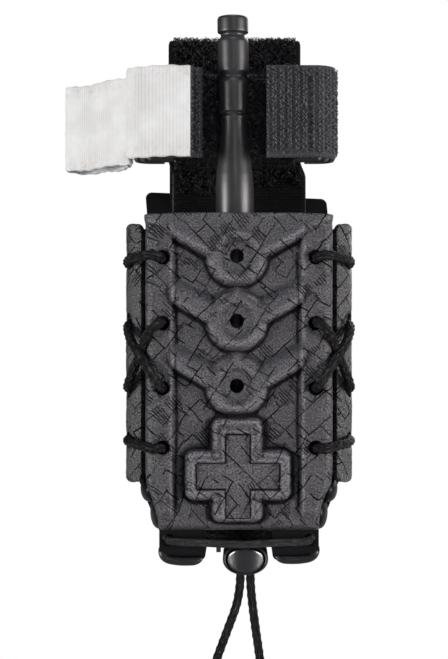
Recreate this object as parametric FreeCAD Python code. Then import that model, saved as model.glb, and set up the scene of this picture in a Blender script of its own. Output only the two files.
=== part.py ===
import FreeCAD, Part
import math
import os

# Folded windlass tourniquet carried in a laced belt carrier.  Millimetres.
# +X to the wearer's left when worn (viewer's right), +Y towards the belt, +Z up.
# "Front" is -Y; "left" and "right" are the viewer's, looking towards +Y.
# Geometry is drawn with Y = 0 on the back of the rear shell and moved at the end
# so that Y = 0 is the outer face of the belt clip gate.

Vector = FreeCAD.Vector
SIDES = (-1, 1)         # left, right

# ---------------------------------------------------------------- shared dimensions
GATE_OUTER_Y = 11.6     # outer face of the clip gate, behind the rear shell
SCREW_Z = (24.0, -12.0)
SCREW_HOLE_R = 2.1

# lacing holes, top to bottom
LACE_Z = (20.1, 1.9, -16.1, -32.5)      # in the front shell
RAIL_Z = (20.2, 2.4, -16.9, -31.2)      # in the rear shell's flanges

# shock cord and the lock that holds its two ends
CORD_R = 1.32
LOCK_X = 1.8
LOCK_Z = -64.1
LOCK_END_Z = -68.8      # where the cords leave the lock
LOCK_CORD_Y = -29.3
LOCK_CORD_DX = 1.42     # each cord's offset from the lock's middle

# tourniquet
TOURNIQUET_X = -1.3     # it sits slightly off the carrier's centre
BAND_HW = 19.1          # half width
CLIP_Z0, CLIP_Z1 = 48.0, 73.2   # height range of the windlass clip's straps
ROD_Y = -29.2
ROD_MID_Z = 18.7


# ---------------------------------------------------------------- helpers
def near(a, b, tolerance=0.01):
    return abs(a - b) < tolerance


def mirrored(half):
    """Closed outline from its right half, listed from the top down."""
    return [(-x, z) for x, z in half] + list(reversed(half))


def strip(corners, radii, thickness, to_space, sweep):
    """Band centred on a 2D path with one fillet radius per inner corner.

    to_space maps 2D to 3D; sweep is the extrusion vector.
    """
    half = thickness / 2
    points = [Vector(a, b, 0) for a, b in corners]
    edges = {1: [], -1: []}     # left and right of the direction of travel

    def add_line(start, end):
        along = (end - start).normalize()
        normal = Vector(-along.y, along.x, 0)
        for side in edges:
            ends = [p + normal * (half * side) for p in (start, end)]
            edges[side].append(Part.makeLine(*[to_space(p.x, p.y) for p in ends]))

    def add_arc(start, end, centre, radius):
        first = math.atan2(start.y - centre.y, start.x - centre.x)
        turn = math.atan2(end.y - centre.y, end.x - centre.x) - first
        if turn > math.pi:
            turn -= 2 * math.pi
        if turn < -math.pi:
            turn += 2 * math.pi
        for side in edges:
            r = radius - math.copysign(half, turn) * side
            arc = [to_space(centre.x + r * math.cos(a), centre.y + r * math.sin(a))
                   for a in (first, first + turn / 2, first + turn)]
            edges[side].append(Part.Arc(*arc).toShape())

    start = points[0]
    for before, corner, after, radius in zip(points, points[1:], points[2:], radii):
        to_before = (before - corner).normalize()
        to_after = (after - corner).normalize()
        half_angle = to_before.getAngle(to_after) / 2
        setback = radius / math.tan(half_angle)
        arc_start = corner + to_before * setback
        arc_end = corner + to_after * setback
        bisector = (to_before + to_after).normalize()
        add_line(start, arc_start)
        add_arc(arc_start, arc_end, corner + bisector * (radius / math.sin(half_angle)), radius)
        start = arc_end
    add_line(start, points[-1])

    left, right = edges[1], edges[-1]
    caps = [Part.makeLine(left[i].Vertexes[i].Point, right[i].Vertexes[i].Point)
            for i in (0, -1)]
    wire = Part.Wire(Part.__sortEdges__(left + right + caps))
    return Part.Face(wire).extrude(sweep)


def strip_xy(corners, radii, thickness, z0, z1):
    return strip(corners, radii, thickness, lambda x, y: Vector(x, y, z0),
                 Vector(0, 0, z1 - z0))


def strip_yz(corners, radii, thickness, x0, x1):
    return strip(corners, radii, thickness, lambda y, z: Vector(x0, y, z),
                 Vector(x1 - x0, 0, 0))


def box(x0, x1, y0, y1, z0, z1):
    """Box between planes; each X and Z pair may come in either order."""
    return Part.makeBox(abs(x1 - x0), y1 - y0, abs(z1 - z0),
                        Vector(min(x0, x1), y0, min(z0, z1)))


def cylinder_x(radius, y, z, x0, x1):
    return Part.makeCylinder(radius, x1 - x0, Vector(x0, y, z), Vector(1, 0, 0))


def cylinder_y(radius, x, z, y0, y1):
    return Part.makeCylinder(radius, y1 - y0, Vector(x, y0, z), Vector(0, 1, 0))


def prism_y(outline, y0, y1):
    """Prism of an XZ polygon between two Y planes."""
    points = [Vector(x, y0, z) for x, z in outline]
    return Part.Face(Part.makePolygon(points + points[:1])).extrude(Vector(0, y1 - y0, 0))


def screw_holes(y0, y1):
    return Part.makeCompound([cylinder_y(SCREW_HOLE_R, 0, z, y0, y1) for z in SCREW_Z]).Solids


def fuse(shapes):
    return shapes[0].multiFuse(shapes[1:]).removeSplitter()


def fillet(shape, radius, chosen):
    """Round the edges that chosen(edge) picks."""
    edges = [edge for edge in shape.Edges if chosen(edge)]
    # guards against a rounding the kernel can't build: the shape then stays sharp
    try:
        rounded = shape.makeFillet(radius, edges)
        if rounded.isValid() and rounded.Volume > 0:
            return rounded
    except Exception:
        pass
    return shape


def round_corners(shape, radius, half_width, z, middle_x=0.0):
    """Round the two edges along Y at a plate's corners on height z."""
    return fillet(shape, radius, lambda edge:
                  near(abs(edge.CenterOfMass.x - middle_x), half_width)
                  and near(edge.CenterOfMass.z, z))


def cord(points, radius):
    """Round cord along a smooth curve through the points."""
    curve = Part.BSplineCurve()
    curve.interpolate([Vector(*p) for p in points])

    def section(parameter):
        tangent = curve.tangent(parameter)[0]
        return Part.Wire(Part.makeCircle(radius, curve.value(parameter), tangent))

    start, end = curve.FirstParameter, curve.LastParameter
    # guards against a sweep the kernel can't build in one length
    try:
        sweep = Part.BRepOffsetAPI.MakePipeShell(Part.Wire(curve.toShape()))
        sweep.setFrenetMode(False)
        # many spans, so that a long winding cord keeps to its curve
        sweep.setMaxSegments(1000)
        sweep.add(section(start), False, False)
        sweep.build()
        if sweep.makeSolid():
            solid = sweep.shape()
            if solid.isValid() and solid.Volume > 0:
                return solid
    except Part.OCCError:
        pass
    # otherwise two lengths that share a cross-section
    middle = curve.parameter(Vector(*points[len(points) // 2]))
    halves = []
    for a, b in ((start, middle), (middle, end)):
        half = Part.Wire(curve.toShape(a, b)).makePipeShell([section(a)], True, False)
        halves.append(half if half.ShapeType == "Solid" else Part.makeSolid(half))
    return halves[0].fuse(halves[1])


# ---------------------------------------------------------------- front shell
FRONT_HW = 25.8         # half width of the face
FRONT_TOP = 32.2
FRONT_TAPER_Z = -42.0   # lower corners start to draw in here
FRONT_BOTTOM = -55.6
FRONT_BOTTOM_HW = 22.2
FRONT_FACE_Y = -39.2
FRONT_WALL_Y = -31.0    # rear edge of the side walls
FRONT_T = 1.8           # sheet thickness
LOW_WALL_TOP = -49.6    # below this the walls are only LOW_WALL_DEPTH deep
LOW_WALL_DEPTH = 2.0
RAISED_Y = FRONT_FACE_Y - 2.0       # front of the bosses
RAISED_ROOT_Y = FRONT_FACE_Y + 0.4  # raised shapes are sunk into the panel
LACE_X = 21.2
LACE_HOLE_R = 2.25
PORT_X = -0.6           # three ringed holes down the middle
PORT_Z = (20.4, 2.5, -15.4)
PORT_R = 2.2
BOSS_R = 7.8
FIELD_X = {-1: -18.6, 1: 18.0}      # outer edges of the raised fields
FIELD_TOP_Z = 24.4      # lower outer corners of the top field
MARGIN_X = (18.2, 24.3)
CROSS_X, CROSS_Z = -0.5, -39.7
CROSS_REACH = 12.6
CROSS_ARM_HW = 4.7


def front_outline(inset=0.0, top=FRONT_TOP):
    half = FRONT_HW - inset
    bottom_half = FRONT_BOTTOM_HW - inset
    return mirrored([
        (half, top), (half, FRONT_TAPER_Z),
        (bottom_half + 0.4, FRONT_BOTTOM + 4.0 + inset),
        (bottom_half, FRONT_BOTTOM + inset)])


def is_front_rim(edge):
    """Side and bottom edges of the front face."""
    bounds, middle = edge.BoundBox, edge.CenterOfMass
    on_face = near(bounds.YMin, FRONT_FACE_Y, 1e-3) and near(bounds.YMax, FRONT_FACE_Y, 1e-3)
    tapered = abs(middle.x) > FRONT_BOTTOM_HW - 0.1 and middle.z < FRONT_TAPER_Z
    return on_face and (near(abs(middle.x), FRONT_HW, 0.1)
                        or near(middle.z, FRONT_BOTTOM, 0.1) or tapered)


def raised_shapes():
    """Fields, bosses, side margins and cross standing out of the front face."""
    field_y = RAISED_Y + 0.3
    shapes = [prism_y([
        (FIELD_X[-1], FRONT_TOP), (FIELD_X[-1], FIELD_TOP_Z),
        (PORT_X - 8.4, 19.8), (PORT_X + 8.4, 19.8),
        (FIELD_X[1], FIELD_TOP_Z), (FIELD_X[1], FRONT_TOP)], RAISED_Y + 0.4, RAISED_ROOT_Y)]
    for i, z in enumerate(PORT_Z):
        shapes.append(cylinder_y(BOSS_R, PORT_X, z, RAISED_Y, RAISED_ROOT_Y))
        if i == 0:
            continue
        # a wing on each side of the lower two bosses
        wing_top = z + 12.4
        for side in SIDES:
            shapes.append(prism_y([
                (FIELD_X[side], wing_top), (PORT_X + side * 6.7, wing_top - 5.1),
                (PORT_X, wing_top - 2.2), (PORT_X, z),
                (PORT_X + side * 7.0, z - 0.2), (FIELD_X[side], z + 4.7)],
                field_y, RAISED_ROOT_Y))
    for side in SIDES:
        shapes.append(box(side * MARGIN_X[0], side * MARGIN_X[1],
                          FRONT_FACE_Y - 1.0, RAISED_ROOT_Y, -41.0, FRONT_TOP))
    for half_x, half_z in ((CROSS_REACH, CROSS_ARM_HW), (CROSS_ARM_HW, CROSS_REACH)):
        shapes.append(box(CROSS_X - half_x, CROSS_X + half_x, RAISED_Y + 0.2, RAISED_ROOT_Y,
                          CROSS_Z - half_z, CROSS_Z + half_z))
    return shapes


def front_shell():
    outer = prism_y(front_outline(), FRONT_FACE_Y, FRONT_WALL_Y)
    cavity = prism_y(front_outline(FRONT_T, FRONT_TOP + 5),
                     FRONT_FACE_Y + FRONT_T, FRONT_WALL_Y + 5)
    shell = outer.cut(cavity)
    # bottom edge turns back only a short way, so that the cords can leave below
    shell = shell.cut(box(-30, 30, FRONT_FACE_Y + LOW_WALL_DEPTH, 0,
                          FRONT_BOTTOM - 2, LOW_WALL_TOP))
    shell = fillet(shell, 1.5, is_front_rim)
    shell = fuse([shell] + raised_shapes())
    holes = [cylinder_y(PORT_R, PORT_X, z, -50, -30) for z in PORT_Z]
    holes += [cylinder_y(LACE_HOLE_R, side * LACE_X, z, -50, -30)
              for z in LACE_Z for side in SIDES]
    return shell.cut(Part.makeCompound(holes))


# ---------------------------------------------------------------- rear shell
REAR_HW = 31.85
REAR_R = 8.5            # outer radius of the flanges
REAR_CENTRE_X = REAR_HW - REAR_R
REAR_CENTRE_Y = -24.5
REAR_T = 1.8
REAR_TOP = 30.0
REAR_BOTTOM = -43.1
FLANGE_WRAP = math.radians(62.0)        # turn of the flange past the straight wall
FLANGE_END_R = 6.0      # rounding of the flange ends in side view
RAIL_HOLE_ANGLE = math.radians(20.0)
RAIL_HOLE_R = 2.6


def flange(side):
    """Arc-shaped flange that carries one side wall round to the front."""
    outer, inner = [
        [Vector(side * (REAR_CENTRE_X + r * math.cos(a)),
                REAR_CENTRE_Y - r * math.sin(a), REAR_BOTTOM)
         for a in (0, FLANGE_WRAP / 2, FLANGE_WRAP)]
        for r in (REAR_R, REAR_R - REAR_T)]
    wire = Part.Wire(Part.__sortEdges__([
        Part.Arc(*outer).toShape(), Part.Arc(*inner).toShape(),
        Part.makeLine(outer[0], inner[0]), Part.makeLine(outer[-1], inner[-1])]))
    return Part.Face(wire).extrude(Vector(0, 0, REAR_TOP - REAR_BOTTOM))


def rear_shell():
    half = REAR_HW - REAR_T / 2
    panel = strip_xy([(-half, REAR_CENTRE_Y), (-half, -REAR_T / 2),
                      (half, -REAR_T / 2), (half, REAR_CENTRE_Y)],
                     [5.0, 5.0], REAR_T, REAR_BOTTOM, REAR_TOP)
    shell = fuse([panel] + [flange(side) for side in SIDES])
    end_y = REAR_CENTRE_Y - REAR_R + FLANGE_END_R
    cutters = []
    for z, up in ((REAR_TOP, 1), (REAR_BOTTOM, -1)):
        end_z = z - up * FLANGE_END_R
        corner = box(-40, 40, -40, end_y, z, end_z)
        cutters.append(corner.cut(cylinder_x(FLANGE_END_R, end_y, end_z, -40, 40)))
    shell = shell.cut(Part.makeCompound(cutters))
    holes = []
    for z in RAIL_Z:
        for side in SIDES:
            axis = Vector(side * math.cos(RAIL_HOLE_ANGLE), -math.sin(RAIL_HOLE_ANGLE), 0)
            base = Vector(side * REAR_CENTRE_X, REAR_CENTRE_Y, z) + axis * 4.0
            holes.append(Part.makeCylinder(RAIL_HOLE_R, 8, base, axis))
    return shell.cut(Part.makeCompound(holes + screw_holes(-6, 4)))


# ---------------------------------------------------------------- inner tray
TRAY_BACK = (-4.0, -2.0)        # Y of the back panel's two faces
TRAY_HW = 28.8
TRAY_T = 1.7
TRAY_TOP = 40.2
TRAY_TOP_HW = 27.1
TRAY_SIDE_TOP = 29.0
TRAY_SIDE_Y = -21.0     # front edge of the side walls
TRAY_LOW = -62.0
TAB_IN, TAB_OUT = 9.3, 22.2     # X range of each tab
TAB_T = 1.8
TAB_FLOOR_Z = -63.5     # middle of the tab floor's sheet
TAB_LOW_Z = -64.7       # base of the tab corners and of the panel between the tabs
TAB_LIP_Y = -35.9       # middle of the lip's sheet
TAB_HOLE_X, TAB_HOLE_Z = 19.7, -58.4
TAB_HOLE_R = 1.75


def tray_outline(inset=0.0, top=TRAY_SIDE_TOP, bottom=TRAY_LOW):
    return mirrored([(x - inset, z) for x, z in (
        (TRAY_HW, top), (TRAY_HW, -43.5), (25.6, -51.5),
        (TAB_OUT + 1.0, -56.0), (TAB_OUT, bottom))])


def tab(side):
    """Hooked tab: floor forward, then a lip up behind the front shell's lower edge."""
    back_y = sum(TRAY_BACK) / 2
    shape = strip_yz([(back_y, -50.0), (back_y, TAB_FLOOR_Z),
                      (TAB_LIP_Y, TAB_FLOOR_Z), (TAB_LIP_Y, -50.5)],
                     [3.0, 2.6], TAB_T, *sorted((side * TAB_IN, side * TAB_OUT)))
    # rounded lower corners, wider at the outside
    for edge_x, inward, radius in ((side * TAB_OUT, -side, 3.6), (side * TAB_IN, side, 2.4)):
        centre_z = TAB_LOW_Z + radius
        corner = box(edge_x - inward * 0.01, edge_x + inward * (radius + 0.01),
                     -45, -4.6, TAB_LOW_Z - 0.2, centre_z)
        corner = corner.cut(cylinder_y(radius, edge_x + inward * radius, centre_z, -50, 10))
        shape = shape.cut(corner)
    return shape


def inner_tray():
    def is_back_side(edge):
        bounds = edge.BoundBox
        return (near(bounds.YMin, TRAY_BACK[1], 1e-3) and near(bounds.YMax, TRAY_BACK[1], 1e-3)
                and near(abs(edge.CenterOfMass.x), TRAY_HW))

    block = fillet(prism_y(tray_outline(), TRAY_SIDE_Y, TRAY_BACK[1]), 3.0, is_back_side)
    # the cavity runs out at the top and bottom
    cavity = tray_outline(TRAY_T, TRAY_SIDE_TOP + 10, TRAY_LOW - 3)
    tray = block.cut(prism_y(cavity, TRAY_SIDE_Y - 5, TRAY_BACK[0]))
    # back panel above the side walls
    top = box(-TRAY_TOP_HW, TRAY_TOP_HW, *TRAY_BACK, TRAY_SIDE_TOP - 4, TRAY_TOP)
    top = round_corners(top, 1.9, TRAY_TOP_HW, TRAY_TOP)
    # the back panel reaches the tabs' level between them
    low = box(-TAB_IN - 0.3, TAB_IN + 0.3, *TRAY_BACK, TAB_LOW_Z, -55.0)
    tray = fuse([tray, top, low] + [tab(side) for side in SIDES])
    holes = [cylinder_y(TAB_HOLE_R, side * TAB_HOLE_X, TAB_HOLE_Z, -45, -33) for side in SIDES]
    return tray.cut(Part.makeCompound(holes + screw_holes(-6, 4)))


# ---------------------------------------------------------------- shock cord
def shock_cord(side):
    """One continuous cord, from inside above the third front hole to below the lock."""
    lace1, lace2, lace3, lace4 = LACE_Z
    rail1, rail2, rail3, rail4 = RAIL_Z
    inside_y = -35.6
    # x to the cord's own side, y, z
    lacing = [
        # out through the third front hole
        (18.4, -34.6, lace3 + 9.5), (19.6, -35.2, lace3 + 5.0), (20.7, -36.0, lace3 + 2.0),
        (21.2, -38.9, lace3 + 0.1), (22.0, -41.6, lace3 + 0.9),
        # up outside to the second flange hole
        (24.4, -41.9, lace3 + 4.6), (27.6, -39.4, lace3 + 9.3), (30.0, -35.4, lace3 + 13.2),
        (31.2, -31.4, rail2 - 2.2), (31.2, -28.6, rail2 - 1.1), (29.8, -26.8, rail2 - 0.2),
        # up inside the flange and out through its first hole
        (28.0, -25.9, rail2 + 2.2), (27.2, -25.5, (rail1 + rail2) / 2),
        (28.0, -25.9, rail1 - 3.6), (29.8, -26.8, rail1 - 1.6), (31.2, -28.6, rail1 - 1.0),
        (31.2, -31.4, rail1 - 0.3), (29.6, -35.6, rail1 + 0.5), (26.6, -39.7, rail1 + 0.9),
        # in through the first front hole and down to the second
        (23.6, -41.7, lace1 + 0.5), (21.7, -40.2, lace1 - 0.1), (21.2, -37.2, lace1 - 1.4),
        (21.0, inside_y, lace1 - 4.6), (20.9, inside_y + 0.2, (lace1 + lace2) / 2),
        (21.0, inside_y, lace2 + 4.6), (21.2, -37.2, lace2 + 1.4), (21.7, -40.2, lace2 + 0.1),
        # down outside to the third flange hole
        (23.2, -41.8, lace2 - 0.9), (25.4, -40.6, lace2 - 3.6), (27.2, -37.6, lace2 - 8.2),
        (29.2, -35.0, lace2 - 12.6), (31.2, -31.4, rail3 + 1.2), (31.2, -28.6, rail3 + 0.4),
        # down inside the flange and out through its fourth hole
        (29.8, -26.8, rail3 - 0.3), (28.0, -25.9, rail3 - 2.4),
        (27.4, -25.6, (rail3 + rail4) / 2), (28.0, -25.9, rail4 + 2.6),
        (29.8, -26.8, rail4 + 0.6), (31.2, -28.6, rail4 + 0.2), (31.2, -31.4, rail4),
        (29.6, -35.6, rail4 - 0.5), (26.6, -39.7, rail4 - 0.9),
        # in through the fourth front hole and down towards the lock
        (23.6, -41.7, lace4 - 0.3), (21.7, -40.2, lace4 - 0.1), (21.2, -37.2, lace4 - 1.4),
        (21.0, inside_y, lace4 - 4.8), (20.4, -34.2, lace4 - 9.5), (18.6, -32.6, lace4 - 15.5),
        (15.2, -31.2, lace4 - 20.5), (10.4, -30.1, lace4 - 24.4),
    ]
    # x out from the cord's place in the lock, y, z
    through_lock = [
        (2.3, -29.35, -57.4), (1.15, LOCK_CORD_Y, -58.4), (0.45, LOCK_CORD_Y, -59.4),
        (0.13, LOCK_CORD_Y, -60.4), (0.02, LOCK_CORD_Y, -61.6), (0, LOCK_CORD_Y, -63.2),
        (0, LOCK_CORD_Y, -65.2), (0, LOCK_CORD_Y, LOCK_END_Z),
    ]
    lock_x = LOCK_X + side * LOCK_CORD_DX
    return cord([(side * x, y, z) for x, y, z in lacing]
                + [(lock_x + side * x, y, z) for x, y, z in through_lock], CORD_R)


def cross_cord():
    """Short cord across the front between the holes in the tab lips."""
    # x, y, z from the end inside the lip to near the middle
    end = [(19.7, -31.0, -57.7), (19.7, -33.8, -58.1), (19.65, -36.6, -58.4),
           (18.9, -38.9, -58.5), (16.6, -39.75, -58.6)]
    inner = [(11.0, -39.85, -58.75), (5.0, -39.95, -59.05)]
    middle = [(0.6, -40.0, -59.25), (2.6, -40.0, -59.2)]
    left = [(-x, y, z) for x, y, z in end + inner]
    # the inner points lie a little further out on the right
    right = end + [(x + 0.3, y, z) for x, y, z in inner]
    return cord(left + middle + right[::-1], 1.25)


# x, y, z of each free cord end, from its start below the lock
TAIL_POINTS = {
    -1: [(0, 0, 0), (-0.25, 0, -3.0), (-1.1, -0.1, -7.5), (-3.6, -0.2, -14.5),
         (-6.2, -0.1, -21.5), (-7.9, 0.0, -26.5), (-9.0, 0.1, -30.5)],
    1: [(0, 0, 0), (0.15, 0, -3.0), (0.6, 0.1, -7.5), (1.5, 0.2, -14.5),
        (2.5, 0.2, -21.5), (3.1, 0.1, -26.5), (3.5, 0.0, -30.5)],
}


def cord_tail(side):
    """Free cord end with a rounded top, just clear of the cord above."""
    start_x = LOCK_X + side * LOCK_CORD_DX
    start_z = LOCK_END_Z - CORD_R - 0.12
    points = [(start_x + x, LOCK_CORD_Y + y, start_z + z) for x, y, z in TAIL_POINTS[side]]
    ball = Part.makeSphere(CORD_R - 0.002, Vector(*points[0]))
    return fuse([cord(points, CORD_R), ball])


# ---------------------------------------------------------------- cord lock
PLUNGER_OVAL = (5.35, 3.35)     # half axes in X and Z
PLUNGER_SHOULDER_Y = -37.2
PLUNGER_FRONT_Y = -37.9


def oval(half_x, half_z, y0, y1):
    ellipse = Part.Ellipse(Vector(LOCK_X + half_x, y0, LOCK_Z),
                           Vector(LOCK_X, y0, LOCK_Z + half_z), Vector(LOCK_X, y0, LOCK_Z))
    return Part.Face(Part.Wire(ellipse.toShape())).extrude(Vector(0, y1 - y0, 0))


def cord_window(y0, y1):
    return box(LOCK_X - 3.1, LOCK_X + 3.1, y0, y1, LOCK_Z - 6, LOCK_Z + 6)


def lock_body():
    """Oval cup, open at the front."""
    cup = oval(6.35, 4.35, -36.4, -19.4).cut(oval(5.45, 3.45, -37, -20.8))
    return cup.cut(cord_window(LOCK_CORD_Y - 1.6, LOCK_CORD_Y + 1.6))


def lock_plunger():
    stem = oval(*PLUNGER_OVAL, PLUNGER_SHOULDER_Y, -25.0)
    dome = oval(*PLUNGER_OVAL, PLUNGER_FRONT_Y, PLUNGER_SHOULDER_Y)
    dome = fillet(dome, 0.6, lambda edge: near(edge.BoundBox.YMax, PLUNGER_FRONT_Y))
    plunger = fuse([stem, dome])
    plunger = plunger.cut(cord_window(LOCK_CORD_Y - 4.7, LOCK_CORD_Y + 1.5))
    # seat for the spring
    return plunger.cut(cylinder_y(1.9, LOCK_X, LOCK_Z, -26.0, -23.0))


def lock_spring():
    coil_r, wire_r, pitch, turns = 1.45, 0.22, 1.42, 3
    start_y = -25.6
    steps = 16          # points per turn
    points = []
    for i in range(turns * steps + 1):
        angle = 2 * math.pi * i / steps
        points.append((LOCK_X + coil_r * math.cos(angle), start_y + pitch * i / steps,
                       LOCK_Z + coil_r * math.sin(angle)))
    return cord(points, wire_r)


# ---------------------------------------------------------------- belt clip
CLIP_HW = 11.0
CLIP_Y = (0.15, 2.6)    # faces of the base plate
CLIP_BOTTOM = -58.0
GATE_HW = 8.2
GATE_INNER_Y = 9.2
GATE_BOTTOM = -62.0
HINGE_Y, HINGE_Z = 6.2, 41.0
KNUCKLE_R = 3.0
KNUCKLE_GAP_HW = 6.9    # gap between the base's outer knuckles
GATE_KNUCKLE_HW = 6.7
PIN_R = 1.25
PIN_HALF_LENGTH = 11.6


def clip_base():
    plate = box(-CLIP_HW, CLIP_HW, *CLIP_Y, CLIP_BOTTOM, 38.0)
    parts = [round_corners(plate, 3.0, CLIP_HW, CLIP_BOTTOM)]
    for side in SIDES:
        x0, x1 = sorted((side * KNUCKLE_GAP_HW, side * CLIP_HW))
        parts.append(cylinder_x(KNUCKLE_R, HINGE_Y, HINGE_Z, x0, x1))
        parts.append(box(x0, x1, CLIP_Y[0], HINGE_Y, 35.5, HINGE_Z + 1.0))
    base = fuse(parts)
    # room for the gate's knuckle
    base = base.cut(box(-KNUCKLE_GAP_HW, KNUCKLE_GAP_HW, CLIP_Y[1], 12, 36, 46))
    base = base.cut(cylinder_x(PIN_R, HINGE_Y, HINGE_Z, -20, 20))
    return base.cut(Part.makeCompound(screw_holes(-2, 6)))


def clip_gate():
    plate = box(-GATE_HW, GATE_HW, GATE_INNER_Y, GATE_OUTER_Y, GATE_BOTTOM, HINGE_Z - 3.0)
    knuckle = cylinder_x(KNUCKLE_R, HINGE_Y, HINGE_Z, -GATE_KNUCKLE_HW, GATE_KNUCKLE_HW)
    # y, z of the neck that joins knuckle and plate
    neck_outline = [
        (HINGE_Y, HINGE_Z + KNUCKLE_R), (HINGE_Y + 1.2, HINGE_Z + KNUCKLE_R),
        (GATE_OUTER_Y, HINGE_Z - 1.6), (GATE_OUTER_Y, HINGE_Z - 4.0),
        (GATE_INNER_Y, HINGE_Z - 4.0), (HINGE_Y + 1.0, HINGE_Z - 2.0), (HINGE_Y, HINGE_Z)]
    points = [Vector(-GATE_KNUCKLE_HW, y, z) for y, z in neck_outline]
    neck = Part.Face(Part.makePolygon(points + points[:1]))
    neck = neck.extrude(Vector(2 * GATE_KNUCKLE_HW, 0, 0))
    foot = box(-GATE_HW, GATE_HW, 0.5, GATE_OUTER_Y, GATE_BOTTOM, -59.4)
    legs = [box(x - 0.7, x + 0.7, GATE_INNER_Y, GATE_OUTER_Y, -68.4, GATE_BOTTOM)
            for x in (-6.3, 7.4)]
    gate = fuse([plate, knuckle, neck, foot] + legs)
    return gate.cut(cylinder_x(PIN_R + 0.05, HINGE_Y, HINGE_Z, -20, 20))


def clip_hinge_pin():
    return cylinder_x(PIN_R, HINGE_Y, HINGE_Z, -PIN_HALF_LENGTH, PIN_HALF_LENGTH)


def screw(z):
    under_head_y, head_y = 3.1, 4.6
    shank = cylinder_y(1.95, 0, z, -4.9, under_head_y)
    head = cylinder_y(3.6, 0, z, under_head_y, head_y)
    head = fillet(head, 0.6, lambda edge: near(edge.BoundBox.YMin, head_y))
    socket = cylinder_y(1.2, 0, z, 3.8, 6.8)
    return fuse([shank, head]).cut(socket)


def washer(z):
    return cylinder_y(4.2, 0, z, 2.61, 3.09).cut(cylinder_y(SCREW_HOLE_R, 0, z, 2, 5))


def tee_nut(z):
    return cylinder_y(5.2, 0, z, -5.1, -4.05).cut(cylinder_y(2.0, 0, z, -8, 2))


def at_screws(make):
    return Part.makeCompound([make(z) for z in SCREW_Z])


# ---------------------------------------------------------------- tourniquet
BAND_Y = (-19.0, -15.4, -11.8, -8.2)    # layers, front to back
BAND_TOP = 79.0
BAND_BOTTOM = -51.0
BAND_END_Z = BAND_BOTTOM + 9    # where the rearmost layer meets the tip


def band():
    """Lap around the buckle bar, up the front, over the top and folded behind."""
    lap_y, lap_z = -23.1, -48.8
    y1, y2, y3, y4 = BAND_Y
    top, inner_top = BAND_TOP + 4, BAND_TOP - 26
    path = [(lap_y, -34.0), (lap_y, lap_z), (y1, lap_z), (y1, top), (y2, top),
            (y2, BAND_BOTTOM), (y3, BAND_BOTTOM), (y3, inner_top), (y4, inner_top),
            (y4, BAND_END_Z)]
    return strip_yz(path, [2.04] * 2 + [1.79] * 6, 1.9,
                    TOURNIQUET_X - BAND_HW, TOURNIQUET_X + BAND_HW)


def band_tip():
    bottom = BAND_END_Z - 12.0
    tip = box(TOURNIQUET_X - BAND_HW, TOURNIQUET_X + BAND_HW,
              BAND_Y[3] - 1.0, BAND_Y[3] + 1.0, bottom, BAND_END_Z - 0.05)
    return round_corners(tip, 8.0, BAND_HW, bottom, TOURNIQUET_X)


def routing_buckle():
    half, top = 21.6, -39.0
    y0, y1 = -24.3, -20.1
    frame = box(TOURNIQUET_X - half, TOURNIQUET_X + half, y0, y1, -53.4, top)
    frame = fillet(frame, 2.4, lambda edge:
                   near(abs(edge.CenterOfMass.x - TOURNIQUET_X), half)
                   and near(edge.CenterOfMass.y, (y0 + y1) / 2))
    # two slots, then the bars thinned in front so that the lap lies flush
    slot_half = BAND_HW + 0.4
    for back_y, z0, z1 in ((-15, -43.4, -41.0), (-15, -51.6, -46.6), (-22.0, -50.0, top + 1)):
        frame = frame.cut(box(TOURNIQUET_X - slot_half, TOURNIQUET_X + slot_half,
                              -30, back_y, z0, z1))
    return frame


def stabilising_plate():
    """Flat plate between the two front layers of the band."""
    return box(TOURNIQUET_X - 18.0, TOURNIQUET_X + 18.0, -17.9, -16.5, -20.0, 76.0)


def inner_ribbon():
    """Ribbon from the band's front forward through the rod's slot."""
    band_y = BAND_Y[0] - 1.55
    half = [(17.0, band_y), (9.8, band_y), (7.4, ROD_Y)]
    path = [(TOURNIQUET_X + x, y) for x, y in mirrored(half)]
    return strip_xy(path, [1.6, 1.3, 1.3, 1.6], 0.9, ROD_MID_Z - 10.0, ROD_MID_Z + 10.0)


# radius, distance from the rod's middle to its end
ROD_PROFILE = [
    (5.4, 0.0), (5.4, 22.0), (5.2, 25.5), (4.45, 31.0), (3.75, 38.0), (3.7, 41.2),
    (3.85, 41.8), (3.5, 42.5), (3.5, 43.0), (4.15, 43.6), (4.15, 52.0), (3.55, 52.8),
    (3.55, 53.6), (4.4, 55.0), (4.4, 63.2), (3.45, 64.5), (3.45, 65.2), (4.4, 66.0),
    (4.4, 69.9), (4.0, 70.4), (0.0, 70.4)]


def windlass_rod():
    profile = [(r, -h) for r, h in reversed(ROD_PROFILE)] + ROD_PROFILE[1:]
    points = [Vector(TOURNIQUET_X + r, ROD_Y, ROD_MID_Z + h) for r, h in profile]
    face = Part.Face(Part.makePolygon(points + points[:1]))
    rod = face.revolve(Vector(TOURNIQUET_X, ROD_Y, 0), Vector(0, 0, 1), 360)
    # slot with rounded ends, through the rod along X
    slot_r, slot_half = 0.85, 11.2
    x0, x1 = TOURNIQUET_X - 10, TOURNIQUET_X + 10
    slot = box(x0, x1, ROD_Y - slot_r, ROD_Y + slot_r,
               ROD_MID_Z - slot_half, ROD_MID_Z + slot_half)
    ends = [cylinder_x(slot_r, ROD_Y, ROD_MID_Z + end * slot_half, x0, x1) for end in (-1, 1)]
    return rod.cut(fuse([slot] + ends))


def windlass_clip():
    """C-shaped clip, open at the front."""
    half = [(9.4, -34.6), (26.4, -34.6), (26.4, -20.85)]
    path = [(TOURNIQUET_X + x, y) for x, y in mirrored(half)]
    return strip_xy(path, [4.0, 3.0, 3.0, 4.0], 1.5, CLIP_Z0 + 0.3, CLIP_Z1 - 0.3)


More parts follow.
